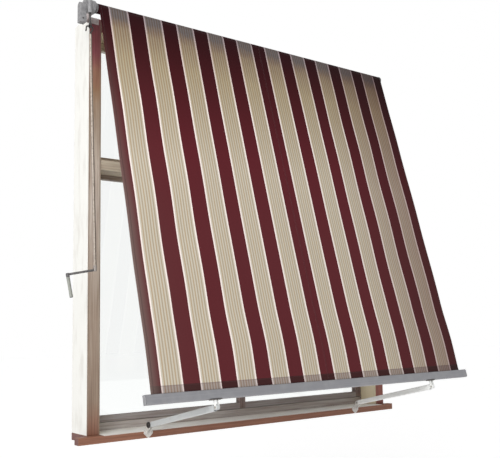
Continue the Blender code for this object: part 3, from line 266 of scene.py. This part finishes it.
def drawn_glass(name):
    """Drawn window glass: clear, with a slow wave in it that bends what shows behind."""
    sockets = {"Base Color": "#FBFDFC", "Roughness": 0.02, "Transmission Weight": 1.0, "IOR": 1.45}
    finish, tree, shader, place = new_finish(name, sockets)
    # The wave is about 330 mm long.
    wave = add_node(tree, "TexNoise", {"Vector": place, "Scale": 3.0, "Detail": 1.0})
    raised = add_node(tree, "Bump", {"Height": wave, "Distance": 0.0005, "Strength": 0.15})
    connect(tree, shader, {"Normal": raised})
    return finish


def anodised_aluminium(name, colour, worn):
    """Extruded and anodised aluminium, weathered: drawn lines along it and dull grey clouds."""
    finish, tree, shader, place = new_finish(name, {"Metallic": 0.75})
    # The die's lines are under 1 mm apart, drawn here at 2 mm so that they show.
    along = add_node(tree, "Mapping", {"Vector": place, "Scale": (1.1, 500, 500)})
    lines = add_node(tree, "TexNoise", {"Vector": along, "Scale": 1.0, "Detail": 2.0})
    # The clouds are about 60 mm across.
    clouds = add_node(tree, "TexNoise", {"Vector": place, "Scale": 16.0, "Detail": 4.0})
    cloudy = add_node(tree, "MapRange", {0: clouds, 1: 0.40, 2: 0.70}, interpolation_type="SMOOTHSTEP")
    base = add_node(tree, "Mix", {0: cloudy, 6: colour, 7: worn}, data_type="RGBA")
    drawn = add_node(tree, "MapRange", {0: lines, 1: 0.55, 2: 0.75, 4: 0.12})
    base = add_node(tree, "Mix", {0: drawn, 6: base, 7: "#C9C9CC"}, data_type="RGBA")
    roughness = add_node(tree, "MapRange", {0: clouds, 1: 0.35, 2: 0.7, 3: 0.36, 4: 0.55})
    raised = add_node(tree, "Bump", {"Height": lines, "Distance": 0.0003, "Strength": 0.4})
    connect(tree, shader, {"Base Color": base, "Roughness": roughness, "Normal": raised})
    return finish


def powder_coat(name, colour, shade, plate=None):
    """Powder-coated steel: a soft gloss over a fine orange peel, grimy in patches, and darker on the plate
    by the bar.
    """
    sockets = {"Roughness": 0.38, "Coat Weight": 0.15, "Coat Roughness": 0.25}
    finish, tree, shader, place = new_finish(name, sockets)
    # Grime lies in patches of about 35 mm.
    grime = add_node(tree, "TexNoise", {"Vector": place, "Scale": 28.0, "Detail": 5.0})
    # Orange peel is about 1 mm across, drawn here at 1.5 mm.
    peel = add_node(tree, "TexNoise", {"Vector": place, "Scale": 660.0, "Detail": 1.0})
    thickest = {0: grime, 1: 0.48, 2: 0.78, 4: 0.25}
    grimy = add_node(tree, "MapRange", thickest, interpolation_type="SMOOTHSTEP")
    base = add_node(tree, "Mix", {0: grimy, 6: colour, 7: shade}, data_type="RGBA")
    if plate:
        depth = add_node(tree, "VectorMath", {0: place, 1: CLOTH_DOWN}, operation="DOT_PRODUCT")
        plate_end = (CLOTH_TOP + CLOTH_DOWN * CLOTH_DROP).dot(CLOTH_DOWN) + BRACKET_PLATE
        how_low = {0: depth.outputs["Value"], 1: plate_end}
        on_plate = add_node(tree, "Math", how_low, operation="LESS_THAN")
        base = add_node(tree, "Mix", {0: on_plate, 6: base, 7: plate}, data_type="RGBA")
    raised = add_node(tree, "Bump", {"Height": peel, "Distance": 0.0002, "Strength": 0.25})
    connect(tree, shader, {"Base Color": base, "Normal": raised})
    return finish


def painted_casting(name, colour, shade):
    """Die-cast zinc under grey paint: a grainy, matt skin with darker hollows and a dark screw head."""
    finish, tree, shader, place = new_finish(name, {"Metallic": 0.1})
    # The casting's grain is about 1 mm, drawn here at 2.5 mm.
    pits = add_node(tree, "TexNoise", {"Vector": place, "Scale": 400.0, "Detail": 3.0})
    # Its stains are about 20 mm across.
    stains = add_node(tree, "TexNoise", {"Vector": place, "Scale": 50.0, "Detail": 4.0})
    stained = add_node(tree, "MapRange", {0: stains, 1: 0.42, 2: 0.72}, interpolation_type="SMOOTHSTEP")
    base = add_node(tree, "Mix", {0: stained, 6: colour, 7: shade}, data_type="RGBA")
    away = add_node(tree, "VectorMath", {0: place, 1: COVER_SCREW}, operation="DISTANCE").outputs["Value"]
    on_screw = add_node(tree, "Math", {0: away, 1: SCREW_HEAD}, operation="LESS_THAN")
    base = add_node(tree, "Mix", {0: on_screw, 6: base, 7: "#3E3A3A"}, data_type="RGBA")
    roughness = add_node(tree, "MapRange", {0: pits, 1: 0.3, 2: 0.7, 3: 0.45, 4: 0.65})
    raised = add_node(tree, "Bump", {"Height": pits, "Distance": 0.0004, "Strength": 0.5})
    connect(tree, shader, {"Base Color": base, "Roughness": roughness, "Normal": raised})
    return finish


def zinc_plated(name, colour, shade, smooth=0.30):
    """Zinc-plated steel: a dull silver skin with a cloudy bloom that breaks up its shine."""
    finish, tree, shader, place = new_finish(name, {"Metallic": 0.85})
    # The bloom is in patches of about 12 mm.
    bloom = add_node(tree, "TexNoise", {"Vector": place, "Scale": 80.0, "Detail": 4.0})
    bloomed = add_node(tree, "MapRange", {0: bloom, 1: 0.4, 2: 0.7}, interpolation_type="SMOOTHSTEP")
    base = add_node(tree, "Mix", {0: bloomed, 6: colour, 7: shade}, data_type="RGBA")
    roughness = add_node(tree, "MapRange", {0: bloom, 1: 0.35, 2: 0.7, 3: smooth, 4: smooth + 0.18})
    raised = add_node(tree, "Bump", {"Height": bloom, "Distance": 0.0002, "Strength": 0.3})
    connect(tree, shader, {"Base Color": base, "Roughness": roughness, "Normal": raised})
    return finish


def moulded_plastic(name, colour, shade, roughness=0.5):
    """Moulded plastic with a fine spark-eroded skin, rubbed dull by hands and weather."""
    finish, tree, shader, place = new_finish(name, {"Roughness": roughness})
    # The eroded skin is about 0.1 mm, drawn here at 1.2 mm.
    skin = add_node(tree, "TexNoise", {"Vector": place, "Scale": 830.0, "Detail": 1.0})
    # Rubbed places are about 22 mm across.
    rubbed = add_node(tree, "TexNoise", {"Vector": place, "Scale": 45.0, "Detail": 3.0})
    dulled = add_node(tree, "MapRange", {0: rubbed, 1: 0.42, 2: 0.7}, interpolation_type="SMOOTHSTEP")
    base = add_node(tree, "Mix", {0: dulled, 6: colour, 7: shade}, data_type="RGBA")
    raised = add_node(tree, "Bump", {"Height": skin, "Distance": 0.0002, "Strength": 0.3})
    connect(tree, shader, {"Base Color": base, "Normal": raised})
    return finish


def stripe_stops():
    """One period of the stripes: a pale band with near-white borders and fine ribs, then the dark band."""
    pale, border, dark = "#CDC8B8", "#F7EAE3", "#550D1A"
    stops = [(0.0, border), (BORDER_WIDTH / STRIPE_PERIOD, pale)]
    step = (PALE_WIDTH - 2 * BORDER_WIDTH) / (2 * RIB_COUNT + 1)
    for i in range(RIB_COUNT):
        start = BORDER_WIDTH + step * (2 * i + 1)
        stops.append((start / STRIPE_PERIOD, "#B2A38E" if i % 2 else "#B8A48A"))
        stops.append(((start + step) / STRIPE_PERIOD, pale))
    stops.append(((PALE_WIDTH - BORDER_WIDTH) / STRIPE_PERIOD, border))
    stops.append((PALE_WIDTH / STRIPE_PERIOD, dark))
    return stops


def woven_acrylic(name):
    """Woven acrylic, dyed in the thread: sharp stripes and a dry weave, greyed by painted shade at the roll
    and, in part, at the hem.
    """
    sockets = {"Roughness": 0.9, "Sheen Weight": 0.02, "Sheen Roughness": 0.5, "Specular IOR Level": 0.12}
    finish, tree, shader, place = new_finish(name, sockets)
    axes = add_node(tree, "SeparateXYZ", {0: place})
    across = add_node(tree, "Math", {0: axes.outputs["X"], 1: CLOTH_LEFT}, operation="SUBTRACT")
    # The seam's lap shifts the right-hand panel by its extra width.
    past_seam = add_node(tree, "Math", {0: across, 1: SEAM_AT}, operation="GREATER_THAN")
    shift = add_node(tree, "Math", {0: past_seam, 1: -SEAM_EXTRA, 2: -FIRST_PALE}, operation="MULTIPLY_ADD")
    place_in_stripes = add_node(tree, "Math", {0: across, 1: shift}, operation="ADD")
    periods = add_node(tree, "Math", {0: place_in_stripes, 1: STRIPE_PERIOD}, operation="DIVIDE")
    share = add_node(tree, "Math", {0: periods}, operation="FRACT")
    colour = add_node(tree, "ValToRGB", {0: share}, stops=stripe_stops(), between="CONSTANT")
    pale = add_node(tree, "Math", {0: share, 1: PALE_WIDTH / STRIPE_PERIOD}, operation="LESS_THAN")
    down = add_node(tree, "Attribute", attribute_name="run").outputs["Fac"]

    # Painted shade greys the cloth on the roll and just below it, mottled in patches of about 40 mm.
    mottle = add_node(tree, "TexNoise", {"Vector": place, "Scale": 24.0, "Detail": 3.0})
    shade_from_top = add_node(tree, "Math", {0: mottle, 1: 0.05, 2: down}, operation="MULTIPLY_ADD")
    pale_top_shade = [
        (0.07, "#837F8A"), (0.12, "#A0928E"), (0.16, "#B5A89C"), (0.35, "#D4CBBA"), (1.0, "#F8F6F4"),
    ]
    border_top_shade = [(0.06, "#A79FA6"), (0.18, "#D2C8C4"), (0.60, "#FFFFFF")]
    dark_top_shade = [(0.04, "#7A7476"), (0.25, "#A48E92"), (0.90, "#FFFFFF")]
    pale_tint = add_node(tree, "ValToRGB", {0: shade_from_top}, stops=pale_top_shade)
    border_tint = add_node(tree, "ValToRGB", {0: shade_from_top}, stops=border_top_shade)
    dark_tint = add_node(tree, "ValToRGB", {0: shade_from_top}, stops=dark_top_shade)
    # The ribs fill the pale band between its borders, so they are told by how far its middle is.
    pale_middle = PALE_WIDTH / 2 / STRIPE_PERIOD
    ribs_reach = (PALE_WIDTH / 2 - BORDER_WIDTH) / STRIPE_PERIOD
    ribbed = add_node(tree, "Math", {0: share, 1: pale_middle, 2: ribs_reach}, operation="COMPARE")
    tint = add_node(tree, "Mix", {0: ribbed, 6: border_tint, 7: pale_tint}, data_type="RGBA")
    tint = add_node(tree, "Mix", {0: pale, 6: dark_tint, 7: tint}, data_type="RGBA")
    colour = add_node(tree, "Mix", {0: 1.0, 6: colour, 7: tint}, data_type="RGBA", blend_type="MULTIPLY")

    # Painted shade darkens the cloth towards its right-hand edge.
    right_shade_stops = [(0.70, "#FFFFFF"), (1.0, "#C0B0B2")]
    width_share = add_node(tree, "Math", {0: across, 1: CLOTH_WIDTH}, operation="DIVIDE")
    right_shade = add_node(tree, "ValToRGB", {0: width_share}, stops=right_shade_stops)
    colour = add_node(tree, "Mix", {0: 1.0, 6: colour, 7: right_shade}, data_type="RGBA", blend_type="MULTIPLY")

    # The doubled hem is a little darker, partly its own tone and partly painted shade along the bar, with
    # its ribs standing out.
    in_hem = add_node(tree, "Math", {0: down, 1: CLOTH_DROP - HEM_HEIGHT}, operation="GREATER_THAN")
    hem_tint = add_node(tree, "Mix", {0: pale, 6: "#9E8A92", 7: "#D8D4D6"}, data_type="RGBA")
    hem_tint = add_node(tree, "Mix", {0: ribbed, 6: hem_tint, 7: "#CCC6D0"}, data_type="RGBA")
    tinted = {0: in_hem, 6: colour, 7: hem_tint}
    hem_tone_and_shade = add_node(tree, "Mix", tinted, data_type="RGBA", blend_type="MULTIPLY")

    # A painted sheen, as from grazing light, lies on the left edge, most of all low down and in the dark
    # stripes.
    low_down = add_node(tree, "MapRange", {0: down, 1: 0.1, 2: 1.4})
    near_left = add_node(tree, "MapRange", {0: across, 1: 0.0, 2: 0.9, 3: 0.18, 4: 0.0})
    at_hem = add_node(tree, "MapRange", {0: across, 1: 0.0, 2: 0.070, 3: 0.85, 4: 0.10})
    left_sheen = add_node(tree, "Math", {0: near_left, 1: at_hem}, operation="MAXIMUM")
    left_sheen = add_node(tree, "Math", {0: left_sheen, 1: low_down}, operation="MULTIPLY")
    spared = add_node(tree, "Math", {0: pale, 1: -0.6, 2: 1.0}, operation="MULTIPLY_ADD")
    left_sheen = add_node(tree, "Math", {0: left_sheen, 1: spared}, operation="MULTIPLY")
    with_left_sheen = add_node(tree, "Mix", {0: left_sheen, 6: hem_tone_and_shade, 7: "#74655F"}, data_type="RGBA")

    # Threads are about 0.6 mm apart. The wave texture draws 20 / 2 pi bands in each 15.2 mm here, one
    # every 4.8 mm, so that they show.
    threads = {"Vector": place, "Scale": 1 / 0.0152, "Distortion": 0.4}
    warp = add_node(tree, "TexWave", threads, bands_direction="X").outputs["Fac"]
    weft = add_node(tree, "TexWave", threads, bands_direction="Z").outputs["Fac"]
    weave = add_node(tree, "Math", {0: warp, 1: weft}, operation="MULTIPLY")
    raised = add_node(tree, "Bump", {"Height": weave, "Distance": 0.0003, "Strength": 0.12})
    connect(tree, shader, {"Base Color": with_left_sheen, "Normal": raised})
    return finish


def cloth_lift(across, down):
    """How far the hanging cloth stands off its straight line, outwards."""
    # The belly is just above the bar, deeper in some places than in others.
    start = CLOTH_DROP - BELLY_REACH
    above_bar = start < down < CLOTH_DROP
    belly = BELLY * math.sin(math.pi * (down - start) / BELLY_REACH) ** 2 if above_bar else 0.0
    belly *= 1 + 0.5 * noise.noise(Vector((across * 2.1, 0.0, 4.0)))
    # Long shallow waves run down from the roll, and slack folds lean in from both lower corners.
    waves = WAVE_HEIGHT * math.sin(2 * math.pi * across / WAVE_WIDTH + WAVE_DRIFT * math.sin(down * 1.7))
    left = math.exp(-((across - LEFT_CORNER) / LEFT_CORNER_REACH) ** 2)
    right = math.exp(-((CLOTH_WIDTH - across - RIGHT_CORNER) / RIGHT_CORNER_REACH) ** 2)
    corner = left - RIGHT_CORNER_SHARE * right
    folds = FOLD_HEIGHT * corner * math.sin(2 * math.pi * (down * 1.1 + across * 0.5) / FOLD_WIDTH)
    slack = SLACK * noise.noise(Vector((across * 1.6, down * 1.3, 0.3)))
    # The roll and the bar hold the cloth straight where it meets them.
    from_roll = min(1.0, max(0.0, down) / HELD_BY_ROLL)
    from_bar = min(1.0, max(0.0, CLOTH_DROP - down) / HELD_BY_BAR)
    return belly + from_roll * from_bar * (waves + folds + slack)


def cloth_point(across, down, lift=0.0):
    """A place on the hanging cloth, or this far in front of it."""
    place = CLOTH_TOP + CLOTH_DOWN * down + CLOTH_OUT * (cloth_lift(across, down) + lift)
    return place + Vector((CLOTH_LEFT + across, 0, 0))


def thin_cloth(name, finish, points, runs, cells):
    """A thin cloth piece from rows of points, each with its distance down from the roll."""
    columns, rows = cells
    faces = []
    width = columns + 1
    for row in range(rows):
        for column in range(columns):
            corner = row * width + column
            faces.append((corner, corner + width, corner + width + 1, corner + 1))
    mesh = bpy.data.meshes.new(name)
    mesh.from_pydata(points, [], faces)
    mesh.attributes.new("run", "FLOAT", "POINT").data.foreach_set("value", runs)
    mesh.materials.append(finish)
    mesh.shade_smooth()
    piece = bpy.data.objects.new(name, mesh)
    bpy.context.scene.collection.objects.link(piece)
    solidify = piece.modifiers.new("Thickness", "SOLIDIFY")
    solidify.thickness = CLOTH_THICKNESS
    solidify.offset = 0.0
    return piece


def cloth_strip(name, finish, across, down, lift, cells):
    """A piece of the cloth between two places across it and down it, laid on its surface."""
    columns, rows = cells
    points = []
    runs = []
    for row in range(rows + 1):
        along = down[0] + (down[1] - down[0]) * row / rows
        for column in range(columns + 1):
            place = across[0] + (across[1] - across[0]) * column / columns
            points.append(cloth_point(place, along, lift))
            runs.append(along)
    return thin_cloth(name, finish, points, runs, cells)


def rolled_turns(finish):
    """The turns on the tube, one spiral sheet that leaves the roll at its front."""
    count = round(TURNS * TURN_STEPS)
    length = 0.0
    points = []
    runs = []
    for step in range(count + 1):
        angle = 2 * math.pi * step / TURN_STEPS
        radius = ROLL_RADIUS - (ROLL_RADIUS - INNER_TURN) * step / count
        length += 2 * math.pi * radius / TURN_STEPS if step else 0.0
        place = ROLLER + (CLOTH_OUT * math.cos(angle) - CLOTH_DOWN * math.sin(angle)) * radius
        for column in range(ROLL_COLUMNS + 1):
            points.append(place + Vector((CLOTH_LEFT + CLOTH_WIDTH * column / ROLL_COLUMNS, 0, 0)))
            runs.append(-length)
    roll = thin_cloth("cloth_turns", finish, points, runs, (ROLL_COLUMNS, count))
    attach(roll, "roller")
    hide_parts("cloth_roll")


def stitches(name, thread, start, end, lift):
    """A row of stitches: short raised threads from one place on the cloth to another."""
    points = []
    faces = []
    line = end - start
    half = line.normalized() * STITCH_LENGTH / 2
    beside = Vector((-half.y, half.x)).normalized() * THREAD_RADIUS
    count = int(line.length / (STITCH_LENGTH + STITCH_GAP))
    for i in range(count):
        middle = start + line * ((i + 0.5) / count)
        base = len(points)
        for offset in (-half - beside, -half + beside, half - beside, half + beside):
            corner = middle + offset
            points.append(cloth_point(corner.x, corner.y, lift))
        points.append(cloth_point(middle.x, middle.y, lift + THREAD_RADIUS))
        faces += [(base, base + 1, base + 4), (base + 1, base + 3, base + 4)]
        faces += [(base + 3, base + 2, base + 4), (base + 2, base, base + 4)]
        faces.append((base, base + 2, base + 3, base + 1))
    mesh = bpy.data.meshes.new(name)
    mesh.from_pydata(points, [], faces)
    mesh.materials.append(thread)
    row = bpy.data.objects.new(name, mesh)
    bpy.context.scene.collection.objects.link(row)
    return row


def hang(piece):
    """Ride on the frame, with a mesh of its own."""
    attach(piece, "frame")
    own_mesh(piece)


def awning_cloth():
    """The cloth from the roll to the bar's slot, with its hems, its centre seam and their stitches."""
    finish = woven_acrylic("woven_acrylic_stripe")
    thread = moulded_plastic("polyester_thread", "#4B2A2E", "#5B3B3C", 0.8)
    rolled_turns(finish)
    end = CLOTH_DROP + IN_SLOT
    whole = (0, CLOTH_WIDTH)
    cells = (CLOTH_COLUMNS, CLOTH_ROWS)
    cloth = cloth_strip("awning_cloth", finish, whole, (0, end), 0.0, cells)
    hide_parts("cloth_sheet")
    hem_top = CLOTH_DROP - HEM_HEIGHT
    side = CLOTH_WIDTH - SIDE_HEM
    seam = (SEAM_AT - SEAM_LAP / 2, SEAM_AT + SEAM_LAP / 2)
    narrow = (STRIP_COLUMNS, CLOTH_ROWS)
    pieces = [
        cloth_strip("cloth_hem", finish, whole, (hem_top, end), -LAYER, (CLOTH_COLUMNS, HEM_ROWS)),
        cloth_strip("cloth_side_hem_left", finish, (0, SIDE_HEM), (0, end), LAYER, narrow),
        cloth_strip("cloth_side_hem_right", finish, (side, CLOTH_WIDTH), (0, end), LAYER, narrow),
        cloth_strip("cloth_centre_seam", finish, seam, (0, end), LAYER, narrow),
    ]
    hem_line = hem_top + STITCH_INSET
    hem_ends = (Vector((STITCH_START, hem_line)), Vector((CLOTH_WIDTH - STITCH_START, hem_line)))
    pieces.append(stitches("stitches_hem", thread, *hem_ends, ON_CLOTH))
    downward = {
        "stitches_left": SIDE_HEM - STITCH_INSET, "stitches_right": side + STITCH_INSET,
        "stitches_seam_left": SEAM_AT - STITCH_INSET, "stitches_seam_right": SEAM_AT + STITCH_INSET,
    }
    for name, across in downward.items():
        ends = (Vector((across, STITCH_START)), Vector((across, CLOTH_DROP - STITCH_START)))
        pieces.append(stitches(name, thread, *ends, ON_STRIP))
    for piece in (cloth, *pieces):
        hang(piece)


def finish_nodes(finishes):
    """Give the CAD nodes their finishes."""
    for node, finish in finishes.items():
        nodes[node].material_slots[0].material = finish


def window_finishes():
    """Worn stain outside, cream paint in the reveals, white on the sill's top, primer on the outer sides."""
    left, right, down, up = Vector((-1, 0, 0)), Vector((1, 0, 0)), Vector((0, 0, -1)), Vector((0, 0, 1))
    cream = ("#F4E8C8", "#DACFAE", WHOLE_SIDE)
    primer = ("#E9E8E3", "#D6D3CC", WHOLE_SIDE)
    left_stain = [
        (0.0, "#90604A"), (0.04, "#906C59"), (0.09, "#9A8776"), (0.30, "#B5A697"), (0.55, "#D8CEC3"),
        (0.74, "#C0B09E"), (0.827, "#AA886B"), (0.875, "#A9796A"), (0.91, "#92525A"), (0.94, "#86464C"),
    ]
    left_paints = [(right, *cream), (left, *primer)]
    left_wood = stained_pine("weathered_pine_left", "Z", left_stain, (-JAMB_MIDDLE, "#857565"), left_paints)
    right_paints = [(left, *cream), (right, *primer)]
    right_wood = stained_pine("weathered_pine_right", "Z", [(0.0, "#96584C")], None, right_paints)
    frame_wood = stained_pine("weathered_pine_rail", "X", [(0.0, "#BCB8B5"), (0.6, "#CFC5B2")])
    leaf_wood = stained_pine("weathered_pine_leaf", "X", [(0.0, "#A09B9A"), (0.6, "#A89C92")])
    head_paints = [(down, *cream), (up, *primer)]
    head_wood = stained_pine("weathered_pine_head", "X", [(0.0, "#7A4640")], None, head_paints)
    stile_wood = stained_pine("weathered_pine_stile", "Z", [(0.0, "#8A7A76")])
    sill_paints = [(up, "#F8F8F4", "#E8E5DC", OPENING), (left, "#6A4640", "#56362F", WHOLE_SIDE)]
    sill_wood = stained_pine("stained_pine_sill", "X", [(0.0, "#946650")], None, sill_paints)
    glass = drawn_glass("drawn_glass")
    for node in nodes:
        if node.endswith("_glass"):
            finish_nodes({node: glass})
        elif "stile" in node:
            finish_nodes({node: stile_wood})
        elif "leaf" in node and node.endswith("_rail"):
            finish_nodes({node: leaf_wood})
        elif node.endswith("_rail") or node in ("transom", "top_light_sash"):
            finish_nodes({node: frame_wood})
    finish_nodes({
        "left_jamb": left_wood, "right_jamb": right_wood, "head_rail": head_wood, "sill_board": sill_wood})


def metal_finishes():
    """The awning's tube, bar, arms, brackets, winch and crank."""
    bar = anodised_aluminium("anodised_aluminium", "#89898D", "#929295")
    tube = anodised_aluminium("mill_aluminium", "#9A9A9C", "#B0B0B0")
    white = powder_coat("white_powder_coat", "#EDEEEC", "#C6C8C4")
    grimy = powder_coat("grimy_powder_coat", "#EDEEEC", "#C6C8C4", "#5A5250")
    grey = powder_coat("greyed_powder_coat", "#BEC1C1", "#9EA2A1")
    casting = painted_casting("grey_die_casting", "#898889", "#706F71")
    shield = powder_coat("worn_powder_coat", "#CFCBC6", "#A39C94")
    # The wall brackets take a lighter copy of the grey casting: painted light against the shade of the roll
    # over them.
    lit_bracket_casting = painted_casting("lit_die_casting", "#B4A8A6", "#9A908E")
    zinc = zinc_plated("zinc_plated_steel", "#B9B5AE", "#A09B93")
    black = zinc_plated("blackened_steel", "#4A4746", "#2E2C2C", 0.40)
    hinge = zinc_plated("dull_hinge_steel", "#8C8474", "#736A5B", 0.40)
    cap = moulded_plastic("grey_end_cap", "#8B8B8E", "#7A7A7C")
    dark = moulded_plastic("dark_moulded_plastic", "#5D5B5C", "#48474A")
    pale = moulded_plastic("pale_elbow_plastic", "#9A928C", "#7C7672")
    rod = zinc_plated("weathered_rod_steel", "#A1978D", "#8E857C", 0.46)
    steel = zinc_plated("grey_arm_steel", "#7C7A79", "#62605F", 0.42)
    grip = moulded_plastic("pale_grip_plastic", "#94968F", "#83857E")
    finish_nodes({
        "front_bar": bar, "bar_cap_left": cap, "bar_cap_right": cap, "roller_tube": tube,
        "left_arm_tube": grey, "left_arm_lower_eye": grey, "left_arm_upper_eye": grey,
        "right_arm_tube": white, "right_arm_lower_eye": white, "right_arm_upper_eye": white,
        "left_sill_bracket": shield, "right_sill_bracket": shield,
        "left_bar_bracket": grimy, "right_bar_bracket": grimy,
        "left_lower_pin": black, "right_lower_pin": zinc, "left_upper_pin": zinc, "right_upper_pin": zinc,
        "left_wall_bracket": lit_bracket_casting, "right_wall_bracket": lit_bracket_casting,
        "winch_case": casting, "winch_cover": casting,
        "roller_plug_left": casting, "roller_plug_right": casting, "worm_wheel": hinge, "worm_shaft": black,
        "crank_hook": black, "crank_rod": rod, "crank_elbow": pale, "crank_arm": steel,
        "crank_handle": dark, "crank_grip": grip,
    })
    for node in nodes:
        if "_hinge_low" in node or "_hinge_high" in node:
            finish_nodes({node: hinge})
    cast = ["winch_case", "winch_cover", "left_wall_bracket", "right_wall_bracket"]
    for node in [*cast, "left_sill_bracket", "right_sill_bracket"]:
        edge = nodes[node].modifiers.new("Cast edge", "BEVEL")
        edge.width = CAST_EDGE
        edge.segments = 2
        edge.limit_method = "ANGLE"
        edge.angle_limit = CAST_EDGE_ANGLE
        edge.harden_normals = True


def seen_directly(tree):
    """1 for what the camera sees, also in a polished surface or through a pane."""
    rays = add_node(tree, "LightPath").outputs
    straight_or_through = {0: rays["Is Camera Ray"], 1: rays["Is Transmission Ray"]}
    seen = add_node(tree, "Math", straight_or_through, operation="MAXIMUM")
    return add_node(tree, "Math", {0: seen, 1: rays["Is Glossy Ray"]}, operation="MAXIMUM")


def soft_lamp(name, place, aim, size, watts):
    """A square lamp turned towards a place, and hidden from the camera."""
    lamp = bpy.data.lights.new(name, "AREA")
    lamp.size = size
    lamp.energy = watts
    holder = bpy.data.objects.new(name, lamp)
    holder.location = place
    holder.rotation_mode = "QUATERNION"
    holder.rotation_quaternion = (aim - place).to_track_quat("-Z", "Y")
    holder.visible_camera = False
    bpy.context.scene.collection.objects.link(holder)


def studio():
    """A pale floor and soft light: an even room, and two large lamps at the upper and lower left."""
    half = FLOOR_HALF
    corners = [(-half, -half), (half, -half), (half, half), (-half, half)]
    floor_mesh = bpy.data.meshes.new("floor")
    floor_mesh.from_pydata([(x, y, FLOOR_HEIGHT) for x, y in corners], [], [(0, 1, 2, 3)])
    floor = bpy.data.objects.new("floor", floor_mesh)
    bpy.context.scene.collection.objects.link(floor)
    sockets = {"Base Color": "#FBFBFB", "Roughness": 0.9, "Emission Color": "#FFFFFF"}
    finish, tree, shader, _ = new_finish("pale_floor", sockets)
    # What the camera sees of the floor is lifted to white, so that it meets the room without a line.
    lifted = add_node(tree, "Math", {0: seen_directly(tree), 1: FLOOR_LIFT}, operation="MULTIPLY")
    connect(tree, shader, {"Emission Strength": lifted})
    floor_mesh.materials.append(finish)

    world = bpy.data.worlds.new("soft_room")
    world.use_nodes = True
    tree = world.node_tree
    tree.nodes.clear()
    lit = {0: seen_directly(tree), 1: ROOM_LIFT, 2: ROOM_LIGHT}
    strength = add_node(tree, "Math", lit, operation="MULTIPLY_ADD")
    background = add_node(tree, "Background", {"Color": "#FFFFFF", "Strength": strength})
    add_node(tree, "OutputWorld", {"Surface": background})
    bpy.context.scene.world = world

    soft_lamp("upper_left_lamp", UPPER_LAMP, UPPER_AIM, UPPER_SIZE, UPPER_WATTS)
    soft_lamp("lower_left_lamp", LOWER_LAMP, LOWER_AIM, LOWER_SIZE, LOWER_WATTS)


def camera():
    """The place, direction and lens of the photograph."""
    yaw, pitch, roll = (math.radians(angle) for angle in (CAMERA_YAW, CAMERA_PITCH, CAMERA_ROLL))
    forward = Vector((math.sin(yaw) * math.cos(pitch), math.cos(yaw) * math.cos(pitch), math.sin(pitch)))
    level = Vector((math.cos(yaw), -math.sin(yaw), 0))
    upright = level.cross(forward)
    right = level * math.cos(roll) + upright * math.sin(roll)
    up = upright * math.cos(roll) - level * math.sin(roll)
    lens = bpy.data.cameras.new("camera")
    lens.lens = CAMERA_LENS
    lens.sensor_width = CAMERA_SENSOR
    view = bpy.data.objects.new("camera", lens)
    turn = Matrix((right, up, -forward)).transposed().to_4x4()
    view.matrix_world = Matrix.Translation(CAMERA_PLACE) @ turn
    bpy.context.scene.collection.objects.link(view)
    bpy.context.scene.camera = view


camera()
studio()
awning_cloth()
window_finishes()
metal_finishes()

bpy.context.scene.view_settings.view_transform = "Standard"
bpy.context.view_layer.update()
